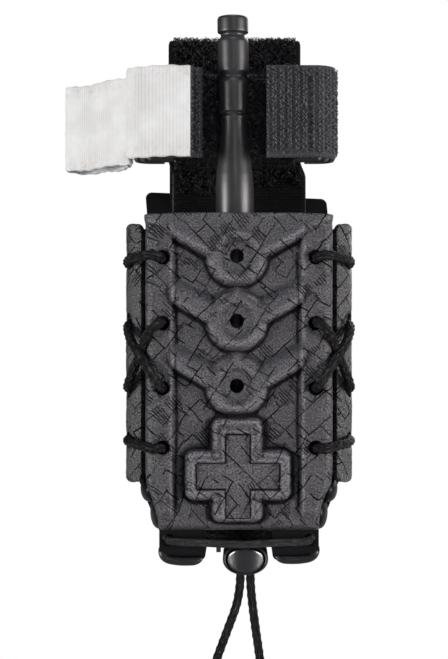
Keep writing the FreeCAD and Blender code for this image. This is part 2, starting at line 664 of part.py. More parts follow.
def hook_wrap(side):
    """Hook strip from the clip arm's tip, round the outside and back behind the arm."""
    path = [(TOURNIQUET_X + side * x, y) for x, y in (
        (8.9, -36.15), (27.95, -36.15), (27.95, -19.35), (20.2, -19.35))]
    return strip_xy(path, [5.5, 4.4], 1.2, CLIP_Z0, CLIP_Z1)


def strap(path, radii):
    return strip_xy(path, radii, 1.4, CLIP_Z0, CLIP_Z1 + 0.2)


def time_strap():
    """Strap over the front of the clip and round its left side."""
    return strap([(-13.5, -37.65), (-30.95, -37.65), (-30.95, -23.4)], [7.0])


def time_strap_tail():
    """Loop of strap reaching out to the left and back."""
    return strap([(-31.0, -23.0), (-31.6, -18.6), (-53.6, 2.6), (-45.6, 12.2),
                  (-34.6, -6.5), (-32.0, -13.6)], [6.0, 4.4, 4.4, 6.0])


# ---------------------------------------------------------------- build
PARTS = {
    "front_shell": front_shell(),
    "rear_shell": rear_shell(),
    "inner_tray": inner_tray(),
    "shock_cord_left": shock_cord(-1),
    "shock_cord_right": shock_cord(1),
    "cross_cord": cross_cord(),
    "cord_tail_left": cord_tail(-1),
    "cord_tail_right": cord_tail(1),
    "lock_body": lock_body(),
    "lock_plunger": lock_plunger(),
    "lock_spring": lock_spring(),
    "clip_base": clip_base(),
    "clip_gate": clip_gate(),
    "clip_hinge_pin": clip_hinge_pin(),
    "clip_screws": at_screws(screw),
    "clip_washers": at_screws(washer),
    "tee_nuts": at_screws(tee_nut),
    "band": band(),
    "band_tip": band_tip(),
    "routing_buckle": routing_buckle(),
    "stabilising_plate": stabilising_plate(),
    "inner_ribbon": inner_ribbon(),
    "windlass_clip": windlass_clip(),
    "hook_wrap_left": hook_wrap(-1),
    "hook_wrap_right": hook_wrap(1),
    "time_strap": time_strap(),
    "time_strap_tail": time_strap_tail(),
    "windlass_rod": windlass_rod(),
}

os.makedirs("parts", exist_ok=True)
for file_name in os.listdir("parts"):
    if file_name.endswith(".step"):
        os.remove(os.path.join("parts", file_name))
for name, shape in PARTS.items():
    placed = shape.copy()
    placed.translate(Vector(0, -GATE_OUTER_Y, 0))
    placed.exportStep("parts/" + name + ".step")
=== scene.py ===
"""A windlass tourniquet held in a laced, moulded carrier with a cord lock and a belt clip.

The drawing is in millimetres.  X runs right, Z up and Y from front to back, with Y = 0 on the
rear shell's back.  The front shell faces -Y, towards the camera.
"""

import math
from functools import partialmethod
from math import cos, pi, radians, sin

import bmesh
import bpy
import numpy as np
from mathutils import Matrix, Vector


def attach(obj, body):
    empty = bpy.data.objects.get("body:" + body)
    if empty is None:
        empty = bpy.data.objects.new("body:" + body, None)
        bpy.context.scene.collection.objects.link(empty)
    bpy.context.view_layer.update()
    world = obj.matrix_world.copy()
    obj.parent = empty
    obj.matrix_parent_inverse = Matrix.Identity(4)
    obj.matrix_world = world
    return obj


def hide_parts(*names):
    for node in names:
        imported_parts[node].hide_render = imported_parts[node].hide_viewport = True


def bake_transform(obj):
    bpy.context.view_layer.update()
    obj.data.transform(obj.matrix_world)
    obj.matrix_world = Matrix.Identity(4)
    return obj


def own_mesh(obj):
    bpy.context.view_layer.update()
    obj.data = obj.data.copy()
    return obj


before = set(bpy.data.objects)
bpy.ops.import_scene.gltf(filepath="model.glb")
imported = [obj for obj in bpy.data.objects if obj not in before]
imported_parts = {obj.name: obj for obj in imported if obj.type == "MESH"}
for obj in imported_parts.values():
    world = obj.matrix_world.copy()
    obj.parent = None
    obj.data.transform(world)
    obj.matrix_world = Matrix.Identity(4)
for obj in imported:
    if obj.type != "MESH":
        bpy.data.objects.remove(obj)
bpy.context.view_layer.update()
MM = 0.001
FRAME_Y = -11.6  # from drawing Y to frame Y, mm
BAND_X = -1.3  # middle of the band, its clip and the windlass
SIDES = ((-1, "left"), (1, "right"))
rng = np.random.default_rng(7)  # pile, hooks, stitches and frayed yarns draw in build order


# =====================================================================
# meshes
# =====================================================================
class Mesh:
    """Collects vertices, quads with a UV per corner, and triangles, in drawing millimetres."""

    def __init__(self):
        self.verts, self.relief, self.quads, self.quad_uvs = [], [], [], []
        self.tris = [np.zeros((0, 3), int)]
        self.count = 0

    def add_verts(self, verts, relief=None):
        """Returns the index of the first new vertex."""
        verts = np.asarray(verts, float).reshape(-1, 3)
        first = self.count
        self.count += len(verts)
        self.verts.append(verts)
        if relief is not None:
            self.relief.append(relief)
        return first

    def add_quads(self, quads, uvs=None):
        self.quads.append(np.asarray(quads))
        self.quad_uvs.append(np.zeros((len(quads), 4, 2)) if uvs is None else uvs)

    def grid(self, points, closed=False, along=None, across=None, flip=False):
        """Quads over (rows, columns, 3) points, closed round each row if asked.

        along and across are the UVs of rows and columns.  Returns the vertex indices."""
        rows, cols = points.shape[:2]
        i, j = np.meshgrid(np.arange(rows - 1), np.arange(cols if closed else cols - 1),
                           indexing="ij")
        turn = (j + 1) % cols
        low, high = i * cols, (i + 1) * cols
        quads = np.stack([low + j, high + j, high + turn, low + turn], -1).reshape(-1, 4)
        along = np.arange(rows + 0.0) if along is None else along
        across = np.arange(cols + 1.0) if across is None else across
        u = along[np.stack([i, i + 1, i + 1, i], -1)]
        v = across[np.stack([j, j, j + 1, j + 1], -1)]
        uvs = np.stack([u, v], -1).reshape(-1, 4, 2)
        if flip:
            quads, uvs = quads[:, ::-1], uvs[:, ::-1]
        first = self.add_verts(points)
        self.add_quads(quads + first, uvs)
        return np.arange(rows * cols).reshape(rows, cols) + first

    def fan(self, ring, centre, flip=False):
        hub = self.add_verts([centre])
        tris = np.stack([ring, np.roll(ring, -1), np.full(len(ring), hub)], -1)
        self.tris.append(tris[:, ::-1] if flip else tris)

    def build(self, name, material=None, slot=None):
        verts = np.concatenate(self.verts)
        verts[:, 1] += FRAME_Y
        verts *= MM
        quads, tris = np.concatenate(self.quads), np.concatenate(self.tris)
        used = np.zeros(len(verts), bool)
        used[quads.ravel()] = True
        used[tris.ravel()] = True
        remap = np.cumsum(used) - 1
        verts, quads, tris = verts[used], remap[quads], remap[tris]
        count4, count3 = len(quads), len(tris)
        corners = np.concatenate([quads.ravel(), tris.ravel()]).astype(np.int32)
        starts = np.concatenate([np.arange(count4) * 4, count4 * 4 + np.arange(count3) * 3])
        sizes = np.concatenate([np.full(count4, 4), np.full(count3, 3)])
        uvs = np.concatenate([np.concatenate(self.quad_uvs).reshape(-1, 2),
                              np.zeros((count3 * 3, 2))])
        mesh = bpy.data.meshes.new(name)
        mesh.vertices.add(len(verts))
        mesh.vertices.foreach_set("co", verts.astype(np.float32).ravel())
        mesh.loops.add(len(corners))
        mesh.loops.foreach_set("vertex_index", corners)
        mesh.polygons.add(count4 + count3)
        mesh.polygons.foreach_set("loop_start", starts.astype(np.int32))
        mesh.polygons.foreach_set("loop_total", sizes.astype(np.int32))
        mesh.polygons.foreach_set("use_smooth", np.full(count4 + count3, True))
        layer = mesh.uv_layers.new(name="UVMap")
        layer.data.foreach_set("uv", uvs.astype(np.float32).ravel())
        # relief attribute: painted highlight and painted shade, read by the laminate shader
        if self.relief:
            relief = np.concatenate(self.relief)[used]
            attribute = mesh.attributes.new("relief", "FLOAT", "POINT")
            attribute.data.foreach_set("value", relief.astype(np.float32))
        mesh.update()
        mesh.validate()
        obj = bpy.data.objects.new(name, mesh)
        bpy.context.scene.collection.objects.link(obj)
        if material:
            mesh.materials.append(material)
        return obj


def merge_close(obj):
    work = bmesh.new()
    work.from_mesh(obj.data)
    bmesh.ops.remove_doubles(work, verts=work.verts, dist=2e-6)
    work.to_mesh(obj.data)
    work.free()
    obj.data.update()


def apply_modifiers(obj):
    bpy.context.view_layer.update()
    graph = bpy.context.evaluated_depsgraph_get()
    mesh = bpy.data.meshes.new_from_object(obj.evaluated_get(graph))
    obj.modifiers.clear()
    old = obj.data
    obj.data = mesh
    bpy.data.meshes.remove(old)


def cut(obj, cutter):
    """Exact difference; the cutter object is removed."""
    modifier = obj.modifiers.new("cut", "BOOLEAN")
    modifier.operation = "DIFFERENCE"
    modifier.solver = "EXACT"
    modifier.object = cutter
    apply_modifiers(obj)
    bpy.data.objects.remove(cutter)


def smooth_by_angle(obj, degrees):
    work = bmesh.new()
    work.from_mesh(obj.data)
    limit = radians(degrees)
    for edge in work.edges:
        edge.smooth = not (len(edge.link_faces) == 2 and edge.calc_face_angle(0) > limit)
    for face in work.faces:
        face.smooth = True
    work.to_mesh(obj.data)
    work.free()


def rounded_copy(node, name, material, width):
    """A piece with a CAD node's own outline and rounded edges, width in mm."""
    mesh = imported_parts[node].data.copy()
    obj = bpy.data.objects.new(name, mesh)
    bpy.context.scene.collection.objects.link(obj)
    mesh.materials.clear()
    mesh.materials.append(material)
    work = bmesh.new()
    work.from_mesh(mesh)
    bmesh.ops.remove_doubles(work, verts=work.verts, dist=3e-6)
    bmesh.ops.dissolve_limit(work, angle_limit=radians(1.0), verts=work.verts, edges=work.edges)
    for face in work.faces:
        face.smooth = True
    work.to_mesh(mesh)
    work.free()
    if mesh.has_custom_normals:
        mesh.normals_split_custom_set([(0, 0, 0)] * len(mesh.loops))
    bevel = obj.modifiers.new("bevel", "BEVEL")
    bevel.width = width * MM
    bevel.segments = 3
    bevel.limit_method = "ANGLE"
    bevel.angle_limit = radians(28)
    bevel.use_clamp_overlap = True
    bevel.harden_normals = False
    bevel.miter_outer = "MITER_ARC"
    obj.modifiers.new("wn", "WEIGHTED_NORMAL").keep_sharp = True
    apply_modifiers(obj)
    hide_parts(node)
    return obj


# =====================================================================
# paths, tapes, tubes and turned shapes
# =====================================================================
def path_elements(points, radii):
    """Lines (start, end) and fillet arcs (start, end, centre, radius) along a polyline."""
    elements, current = [], points[0]
    for before, corner, after, radius in zip(points, points[1:], points[2:], radii):
        back = (before[0] - corner[0], before[1] - corner[1])
        ahead = (after[0] - corner[0], after[1] - corner[1])
        back_length, ahead_length = math.hypot(*back), math.hypot(*ahead)
        back = (back[0] / back_length, back[1] / back_length)
        ahead = (ahead[0] / ahead_length, ahead[1] / ahead_length)
        angle = math.acos(max(-1, min(1, back[0] * ahead[0] + back[1] * ahead[1])))
        reach = radius / math.tan(angle / 2)
        start = (corner[0] + back[0] * reach, corner[1] + back[1] * reach)
        end = (corner[0] + ahead[0] * reach, corner[1] + ahead[1] * reach)
        middle = (back[0] + ahead[0], back[1] + ahead[1])
        length, rise = math.hypot(*middle), radius / sin(angle / 2)
        centre = (corner[0] + middle[0] / length * rise, corner[1] + middle[1] / length * rise)
        elements.append((current, start))
        elements.append((start, end, centre, radius))
        current = end
    elements.append((current, points[-1]))
    return elements


def sample_path(points, radii, step, arc_step):
    """Points, left normals and arc lengths along a filleted 2D path."""
    places, normals, lengths, done = [], [], [], 0.0
    for element in path_elements(points, radii):
        if len(element) == 2:
            start, end = np.array(element[0]), np.array(element[1])
            length = np.linalg.norm(end - start)
            if length < 1e-6:
                continue
            count = max(1, int(round(length / step)))
            heading = (end - start) / length
            for i in range(1 if places else 0, count + 1):
                places.append(start + heading * length * i / count)
                normals.append(np.array([-heading[1], heading[0]]))
                lengths.append(done + length * i / count)
        else:
            start, end, centre, radius = element
            first = math.atan2(start[1] - centre[1], start[0] - centre[0])
            last = math.atan2(end[1] - centre[1], end[0] - centre[0])
            sweep = (last - first + pi) % (2 * pi) - pi
            length = abs(sweep) * radius
            count = max(6, int(round(length / arc_step)))
            inward = -1 if sweep > 0 else 1
            for i in range(1, count + 1):
                angle = first + sweep * i / count
                ray = np.array([cos(angle), sin(angle)])
                places.append(np.array(centre) + radius * ray)
                normals.append(ray * inward)
                lengths.append(done + length * i / count)
        done += length
    return np.array(places), np.array(normals), np.array(lengths)


def strip(name, material, points, radii, thickness, low, high, step, width_step, edge, slot,
          arc_step=None, in_yz=False, relief=None, wave=None):
    """Soft tape along a path in XY, or in YZ, spanning low to high on the third axis.

    edge is the reach of the rounded selvedges.  relief(length, width, side) moves the surface
    along the path's normal and wave(points, length, width) moves finished points."""
    places, normals, lengths = sample_path(points, radii, step, arc_step or step)
    cells = max(6, int(round((high - low - 2 * edge) / width_step)))
    flat = np.linspace(low + edge, high - edge, cells + 1)
    turns = 4
    turn = pi / 2 - pi * np.arange(1, turns) / turns
    face, none = np.ones(cells + 1), np.zeros(turns - 1)
    section = np.concatenate([flat, high - edge + edge * np.cos(turn),
                              flat[::-1], low + edge - edge * np.cos(turn)])
    depth = np.concatenate([face, np.sin(turn), -face, -np.sin(turn)]) * (thickness / 2)
    side = np.concatenate([face, none, -face, none])
    length_grid, width_grid = np.meshgrid(lengths, section, indexing="ij")
    offset = depth if relief is None else depth + relief(length_grid, width_grid, side)
    first = places[:, None, 0] + normals[:, None, 0] * offset
    second = places[:, None, 1] + normals[:, None, 1] * offset
    axes = [width_grid, first, second] if in_yz else [first, second, width_grid]
    surface = np.stack(axes, -1)
    if wave is not None:
        surface = wave(surface, length_grid, width_grid)
    mesh = Mesh()
    around = np.hypot(np.diff(np.append(section, section[0])),
                      np.diff(np.append(depth, depth[0])))
    index = mesh.grid(surface, closed=True, along=lengths,
                      across=np.concatenate([[0], np.cumsum(around)]), flip=True)
    # end caps: quads join the two faces, fans fill the selvedges
    back_first = cells + turns
    for row, order in ((index[0], 1), (index[-1], -1)):
        back = row[back_first:back_first + cells + 1][::-1]
        for ring in (row[cells:back_first + 1], np.append(row[back_first + cells:], row[0])):
            tris = [(ring[0], ring[k], ring[k + 1]) for k in range(1, len(ring) - 1)]
            mesh.tris.append(np.array(tris)[:, ::order])
        quads = np.stack([row[:cells], row[1:cells + 1], back[1:], back[:-1]], -1)
        mesh.add_quads(quads[:, ::order])
    return mesh.build(name, material, slot)


def distances(points):
    """Length from the first point to each point of a polyline."""
    steps = np.linalg.norm(np.diff(points, axis=0), axis=1)
    return np.concatenate([[0], np.cumsum(steps)])


def resample(points, lengths, at):
    return np.stack([np.interp(at, lengths, points[:, axis]) for axis in range(3)], -1)


def catmull(points, step):
    """Centripetal Catmull-Rom curve resampled evenly."""
    points = np.array(points, float)
    points = np.vstack([2 * points[0] - points[1], points, 2 * points[-1] - points[-2]])
    pieces = []
    for i in range(1, len(points) - 2):
        level = points[i - 1:i + 3]
        gap_shade = np.linalg.norm(np.diff(level, axis=0), axis=1) ** 0.5
        knots = np.concatenate([[0], np.cumsum(gap_shade)])
        t = np.linspace(knots[1], knots[2], 24, endpoint=False)[:, None]

        def between(a, b, start, end):
            return (end - t) / (end - start) * a + (t - start) / (end - start) * b

        for span in (1, 2):
            level = [between(level[k], level[k + 1], knots[k], knots[k + span])
                     for k in range(4 - span)]
        pieces.append(between(level[0], level[1], knots[1], knots[2]))
    curve = np.vstack(pieces + [points[-2][None]])
    lengths = distances(curve)
    count = max(4, int(lengths[-1] / step))
    return resample(curve, lengths, np.linspace(0, lengths[-1], count + 1))


def tube(mesh, centres, radius, segments, braid=0.0):
    """Capped round tube; radius may be an array.  braid is the height of diagonal yarns."""
    count = len(centres)
    tangents = np.gradient(centres, axis=0)
    tangents /= np.linalg.norm(tangents, axis=1)[:, None]
    helper = np.array([0, 0, 1.0]) if abs(tangents[0][2]) < 0.9 else np.array([0, 1.0, 0])
    normal = np.cross(tangents[0], helper)
    normals = [normal / np.linalg.norm(normal)]
    for tangent in tangents[1:]:
        # carried along the curve without twist
        normal = normals[-1] - np.dot(normals[-1], tangent) * tangent
        normals.append(normal / np.linalg.norm(normal))
    normals = np.array(normals)
    binormals = np.cross(tangents, normals)
    angle = np.linspace(0, 2 * pi, segments, endpoint=False)
    lengths = distances(centres)
    radii = np.broadcast_to(np.reshape(radius, (-1, 1)), (count, segments)).astype(float)
    if braid:
        yarns, pitch = 6, 2.3
        turn = angle[None, :] / (2 * pi) * yarns
        rise = lengths[:, None] / pitch
        crossing = abs(np.sin(pi * (turn + rise))) * abs(np.sin(pi * (turn - rise)))
        radii += braid * (crossing - 0.5)
    rays = (np.cos(angle)[None, :, None] * normals[:, None]
            + np.sin(angle)[None, :, None] * binormals[:, None])
    index = mesh.grid(centres[:, None] + radii[..., None] * rays, closed=True, along=lengths,
                      across=np.linspace(0, 2 * pi * float(np.mean(radii)), segments + 1))
    mesh.fan(index[0], centres[0])
    mesh.fan(index[-1], centres[-1], flip=True)


def lathe(mesh, profile, origin, segments, stretch=(1, 1)):
    """Turns (radius, height) points about Z, with the radius stretched in X and Y."""
    profile = np.array(profile, float)
    angle = np.linspace(0, 2 * pi, segments, endpoint=False)
    points = np.stack([origin[0] + profile[:, :1] * np.cos(angle) * stretch[0],
                       origin[1] + profile[:, :1] * np.sin(angle) * stretch[1],
                       origin[2] + np.repeat(profile[:, 1:], segments, 1)], -1)
    around = np.linspace(0, 2 * pi * profile[:, 0].max(), segments + 1)
    index = mesh.grid(points, closed=True, along=distances(profile), across=around, flip=True)
    for row, flip in ((0, True), (-1, False)):
        if profile[row, 0] > 1e-4:
            mesh.fan(index[row], points[row].mean(0), flip=flip)


def rounded_profile(points, radius, count):
    """Rounds the corners of a (radius, height) polyline."""
    out = [points[0]]
    for triple in zip(points, points[1:], points[2:]):
        before, corner, after = map(np.array, triple)
        back, ahead = np.linalg.norm(before - corner), np.linalg.norm(after - corner)
        reach = min(radius, back * 0.45, ahead * 0.45)
        start = corner + (before - corner) / back * reach
        end = corner + (after - corner) / ahead * reach
        for k in range(count + 1):
            t = k / count
            out.append(tuple((1 - t) ** 2 * start + 2 * t * (1 - t) * corner + t * t * end))
    out.append(points[-1])
    return out


def add_filaments(name, material, curves, radius, slot, body, sides=3):
    """Thin closed tubes along curves of shape (count, points, 3)."""
    count, points = curves.shape[:2]
    tangents = np.gradient(curves, axis=1)
    tangents /= np.maximum(np.linalg.norm(tangents, axis=2), 1e-9)[..., None]
    normals = np.cross(tangents, np.array([0.31, 0.52, 0.79]))
    normals /= np.maximum(np.linalg.norm(normals, axis=2), 1e-9)[..., None]
    binormals = np.cross(tangents, normals)
    angle = (np.arange(sides) * 2 * pi / sides)[:, None]
    verts = curves[:, :, None] + radius * (np.cos(angle) * normals[:, :, None]
                                           + np.sin(angle) * binormals[:, :, None])
    i, j = np.meshgrid(np.arange(points - 1), np.arange(sides), indexing="ij")
    low, high, turn = i * sides, (i + 1) * sides, (j + 1) % sides
    quads = np.stack([low + j, low + turn, high + turn, high + j], -1).reshape(-1, 4)
    last = (points - 1) * sides
    caps = [(k + 1, k, 0) for k in range(1, sides - 1)]
    caps += [(last, last + k, last + k + 1) for k in range(1, sides - 1)]
    first = (np.arange(count) * points * sides)[:, None, None]
    mesh = Mesh()
    mesh.add_verts(verts)
    mesh.add_quads((quads[None] + first).reshape(-1, 4))
    mesh.tris.append((np.array(caps)[None] + first).reshape(-1, 3))
    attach(mesh.build(name, material, slot), body)


# =====================================================================
# height functions
# =====================================================================
def ease(x, start, end):
    t = np.clip((x - start) / (end - start), 0, 1)
    return t * t * (3 - 2 * t)


def quarter_round(t):
    return np.sqrt(np.maximum(0, 1 - (1 - np.clip(t, 0, 1)) ** 2))


def bell(offset, width):
    return np.exp(-((offset / width) ** 2))


def blur(heights, times):
    for _ in range(times):
        pad = np.pad(heights, 1, mode="edge")
        heights = (pad[:-2, 1:-1] + pad[2:, 1:-1] + 2 * pad[1:-1, 1:-1]) / 4
        pad = np.pad(heights, 1, mode="edge")
        heights = (pad[1:-1, :-2] + pad[1:-1, 2:] + 2 * pad[1:-1, 1:-1]) / 4
    return heights


def lumps(x, y, size, seed):
    """Smooth value noise from -0.5 to 0.5."""
    table = np.random.default_rng(seed).random((64, 64))
    u, v = x / size, y / size
    i, j = np.floor(u).astype(int), np.floor(v).astype(int)
    u, v = u - i, v - j
    u, v = u * u * (3 - 2 * u), v * v * (3 - 2 * v)
    i, j, next_i, next_j = i % 64, j % 64, (i + 1) % 64, (j + 1) % 64
    near = table[i, j] * (1 - u) + table[next_i, j] * u
    far = table[i, next_j] * (1 - u) + table[next_i, next_j] * u
    return near * (1 - v) + far * v - 0.5


def box_distance(x, z, half_x, half_z, radius):
    """Positive inside a rectangle with rounded corners."""
    dx, dz = abs(x) - (half_x - radius), abs(z) - (half_z - radius)
    outside = np.hypot(np.maximum(dx, 0), np.maximum(dz, 0))
    return -(outside + np.minimum(np.maximum(dx, dz), 0) - radius)


# =====================================================================
# formed sheet with round holes and softened cut edges
# =====================================================================
def warp_for_holes(along, up, cell, holes):
    """Moves a regular grid so that a ring of its lines lies on each (along, up, radius) hole.

    Returns the moved coordinates and a mask of the cells outside the holes."""
    along, up = along.copy(), up.copy()
    rows, cols = along.shape
    keep = np.ones((rows - 1, cols - 1), bool)
    along_axis, up_axis = along[:, 0].copy(), up[0, :].copy()
    along_sign = np.sign(along_axis[-1] - along_axis[0])
    up_sign = np.sign(up_axis[-1] - up_axis[0])
    i, j = np.indices((rows, cols))
    for hole_along, hole_up, radius in holes:
        mid_i = int(np.argmin(abs(along_axis - hole_along)))
        mid_j = int(np.argmin(abs(up_axis - hole_up)))
        inner = max(3, int(round(radius / cell)))
        outer = inner + 5
        di, dj = i - mid_i, j - mid_j
        square = np.maximum(abs(di), abs(dj)).astype(float)
        true = np.hypot(di, dj)
        near = (square < outer) & (square > 0)
        t = np.clip((square - inner) / (outer - inner), 0, 1)
        scale = (square * (1 - t) + true * t) / np.maximum(true, 1e-9)
        size = cell * scale * ((radius / (inner * cell)) * (1 - t) + t)
        new_along = hole_along * (1 - t) + along_axis[mid_i] * t + along_sign * di * size
        new_up = hole_up * (1 - t) + up_axis[mid_j] * t + up_sign * dj * size
        along[near], up[near] = new_along[near], new_up[near]
        cell_i = np.arange(rows - 1) + 0.5 - mid_i
        cell_j = np.arange(cols - 1) + 0.5 - mid_j
        keep &= ~(np.maximum(abs(cell_i)[:, None], abs(cell_j)[None, :]) < inner)
    return along, up, keep


def sheet(name, material, outer, normals, thickness, keep, uv, bulge, relief, flip=False):
    """Outer and inner skins joined by softened edges round the outline and every hole."""
    cols = outer.shape[1]
    i, j = np.nonzero(keep)
    corner = i * cols + j
    quads = np.stack([corner, corner + cols, corner + cols + 1, corner + 1], -1)
    if flip:
        quads = quads[:, ::-1]
    outer, normals, relief = outer.reshape(-1, 3), normals.reshape(-1, 3), relief.reshape(-1)
    uv = np.stack([part.reshape(-1) for part in uv], -1)
    count = len(outer)
    mesh = Mesh()
    mesh.add_verts(np.vstack([outer, outer - normals * thickness]),
                   np.concatenate([relief, relief * 0]))
    mesh.add_quads(quads, uv[quads])
    mesh.add_quads(quads[:, ::-1] + count, uv[quads[:, ::-1]])
    # edges walked one way only are the border
    edges = np.concatenate([np.stack([quads[:, k], quads[:, (k + 1) % 4]], -1)
                            for k in range(4)])
    forward, backward = edges[:, 0] * count + edges[:, 1], edges[:, 1] * count + edges[:, 0]
    edges = edges[~np.isin(forward, backward)]
    out = np.cross(outer[edges[:, 1]] - outer[edges[:, 0]], normals[edges[:, 0]])
    out /= np.maximum(np.linalg.norm(out, axis=1), 1e-9)[:, None]
    total = np.zeros((count, 3))
    np.add.at(total, edges[:, 0], out)
    np.add.at(total, edges[:, 1], out)
    border = np.unique(edges)
    out = total[border]
    out /= np.maximum(np.linalg.norm(out, axis=1), 1e-9)[:, None]
    rings = [border]
    for level, amount in ((0.14, 0.8), (0.5, 1.0), (0.86, 0.8)):  # share of depth, of bulge
        ring = outer[border] - normals[border] * (thickness * level) + out * bulge * amount
        rings.append(mesh.add_verts(ring, relief[border]) + np.arange(len(border)))
    rings.append(border + count)
    start, end = np.searchsorted(border, edges).T
    uv_start, uv_end = uv[edges[:, 0]], uv[edges[:, 1]]
    for near, far in zip(rings, rings[1:]):
        mesh.add_quads(np.stack([near[end], near[start], far[start], far[end]], -1),
                       np.stack([uv_end, uv_start, uv_start + 0.3, uv_end + 0.3], 1))
    return mesh.build(name, material, "laminate")


# =====================================================================
# shader building
# =====================================================================
def feed(tree, socket, source):
    """Links a Value or a socket into socket, or sets a plain value."""
    source = getattr(source, "socket", source)
    if isinstance(source, bpy.types.NodeSocket):
        tree.links.new(source, socket)
    else:
        socket.default_value = source


def new_node(tree, kind, inputs=(), **settings):
    node = tree.nodes.new(kind)
    for key, setting in settings.items():
        setattr(node, key, setting)
    for key, source in dict(inputs).items():
        feed(tree, node.inputs[key], source)
    return node


class Value:
    """A shader value; arithmetic on it adds math nodes."""

    def __init__(self, tree, socket):
        self.tree, self.socket = tree, socket

    def math(self, operation, *others, clamp=False):
        node = new_node(self.tree, "ShaderNodeMath", enumerate((self, *others)),
                        operation=operation, use_clamp=clamp)
        return Value(self.tree, node.outputs[0])

    __add__ = partialmethod(math, "ADD")
    __sub__ = partialmethod(math, "SUBTRACT")
    __mul__ = partialmethod(math, "MULTIPLY")
    __truediv__ = partialmethod(math, "DIVIDE")
    floor = partialmethod(math, "FLOOR")
    fract = partialmethod(math, "FRACT")
    abs = partialmethod(math, "ABSOLUTE")
    max = partialmethod(math, "MAXIMUM")
    above = partialmethod(math, "GREATER_THAN")
    below = partialmethod(math, "LESS_THAN")
    power = partialmethod(math, "POWER")
    mod = partialmethod(math, "FLOORED_MODULO")
    clamp = partialmethod(math, "ADD", 0.0, clamp=True)

    def __rsub__(self, other):
        return (self * -1) + other

    def ridge(self):
        """Peaks of height 1 halfway between whole numbers."""
        return (self.fract() - 0.5).abs() * -2 + 1

    def ramp(self, start, end, low=0.0, high=1.0):
        limits = {"Value": self, "From Min": start, "From Max": end, "To Min": low,
                  "To Max": high}
        node = new_node(self.tree, "ShaderNodeMapRange", limits,
                        interpolation_type="SMOOTHSTEP")
        return Value(self.tree, node.outputs["Result"])


class Shader:
    """A material on one Principled surface.  Patterns are in millimetres."""

    def __init__(self, name, rough, spec):
        self.material = bpy.data.materials.new(name)
        self.material.use_nodes = True
        self.tree = self.material.node_tree
        self.tree.nodes.clear()
        output = new_node(self.tree, "ShaderNodeOutputMaterial")
        self.surface = new_node(self.tree, "ShaderNodeBsdfPrincipled",
                                {"Roughness": rough, "Specular IOR Level": spec})
        self.tree.links.new(self.surface.outputs[0], output.inputs[0])

    def set(self, name, source):
        feed(self.tree, self.surface.inputs[name], source)

    def value(self, kind, output, inputs=(), **settings):
        return Value(self.tree, new_node(self.tree, kind, inputs, **settings).outputs[output])

    def uv(self):
        uv = new_node(self.tree, "ShaderNodeUVMap", uv_map="UVMap")
        parts = new_node(self.tree, "ShaderNodeSeparateXYZ", {0: uv.outputs[0]})
        return Value(self.tree, parts.outputs[0]), Value(self.tree, parts.outputs[1])

    def place(self):
        """Object coordinates in millimetres."""
        coords = new_node(self.tree, "ShaderNodeTexCoord")
        return self.value("ShaderNodeVectorMath", 0,
                          {0: coords.outputs["Object"], "Scale": 1000.0}, operation="SCALE")

    def vec(self, x, y, z=0.0):
        return self.value("ShaderNodeCombineXYZ", 0, {0: x, 1: y, 2: z})

    def noise(self, vec, scale, detail=3.0, rough=0.55, distort=0.0):
        return self.value("ShaderNodeTexNoise", "Fac", {
            "Scale": scale, "Detail": detail, "Roughness": rough, "Distortion": distort,
            "Vector": vec})

    def random(self, x, y, z=0.0):
        return self.value("ShaderNodeTexWhiteNoise", "Value", {"Vector": self.vec(x, y, z)},
                          noise_dimensions="3D")

    def mix(self, amount, first, second):
        inputs = {0: amount}
        for key, color in ((6, first), (7, second)):
            inputs[key] = color if isinstance(color, Value) else (*color, 1.0)
        return self.value("ShaderNodeMix", 2, inputs, data_type="RGBA")

    def bump(self, height, distance, strength):
        """height is in units of distance, which is in mm."""
        self.set("Normal", self.value("ShaderNodeBump", 0, {
            "Strength": strength, "Distance": distance * MM, "Height": height}))


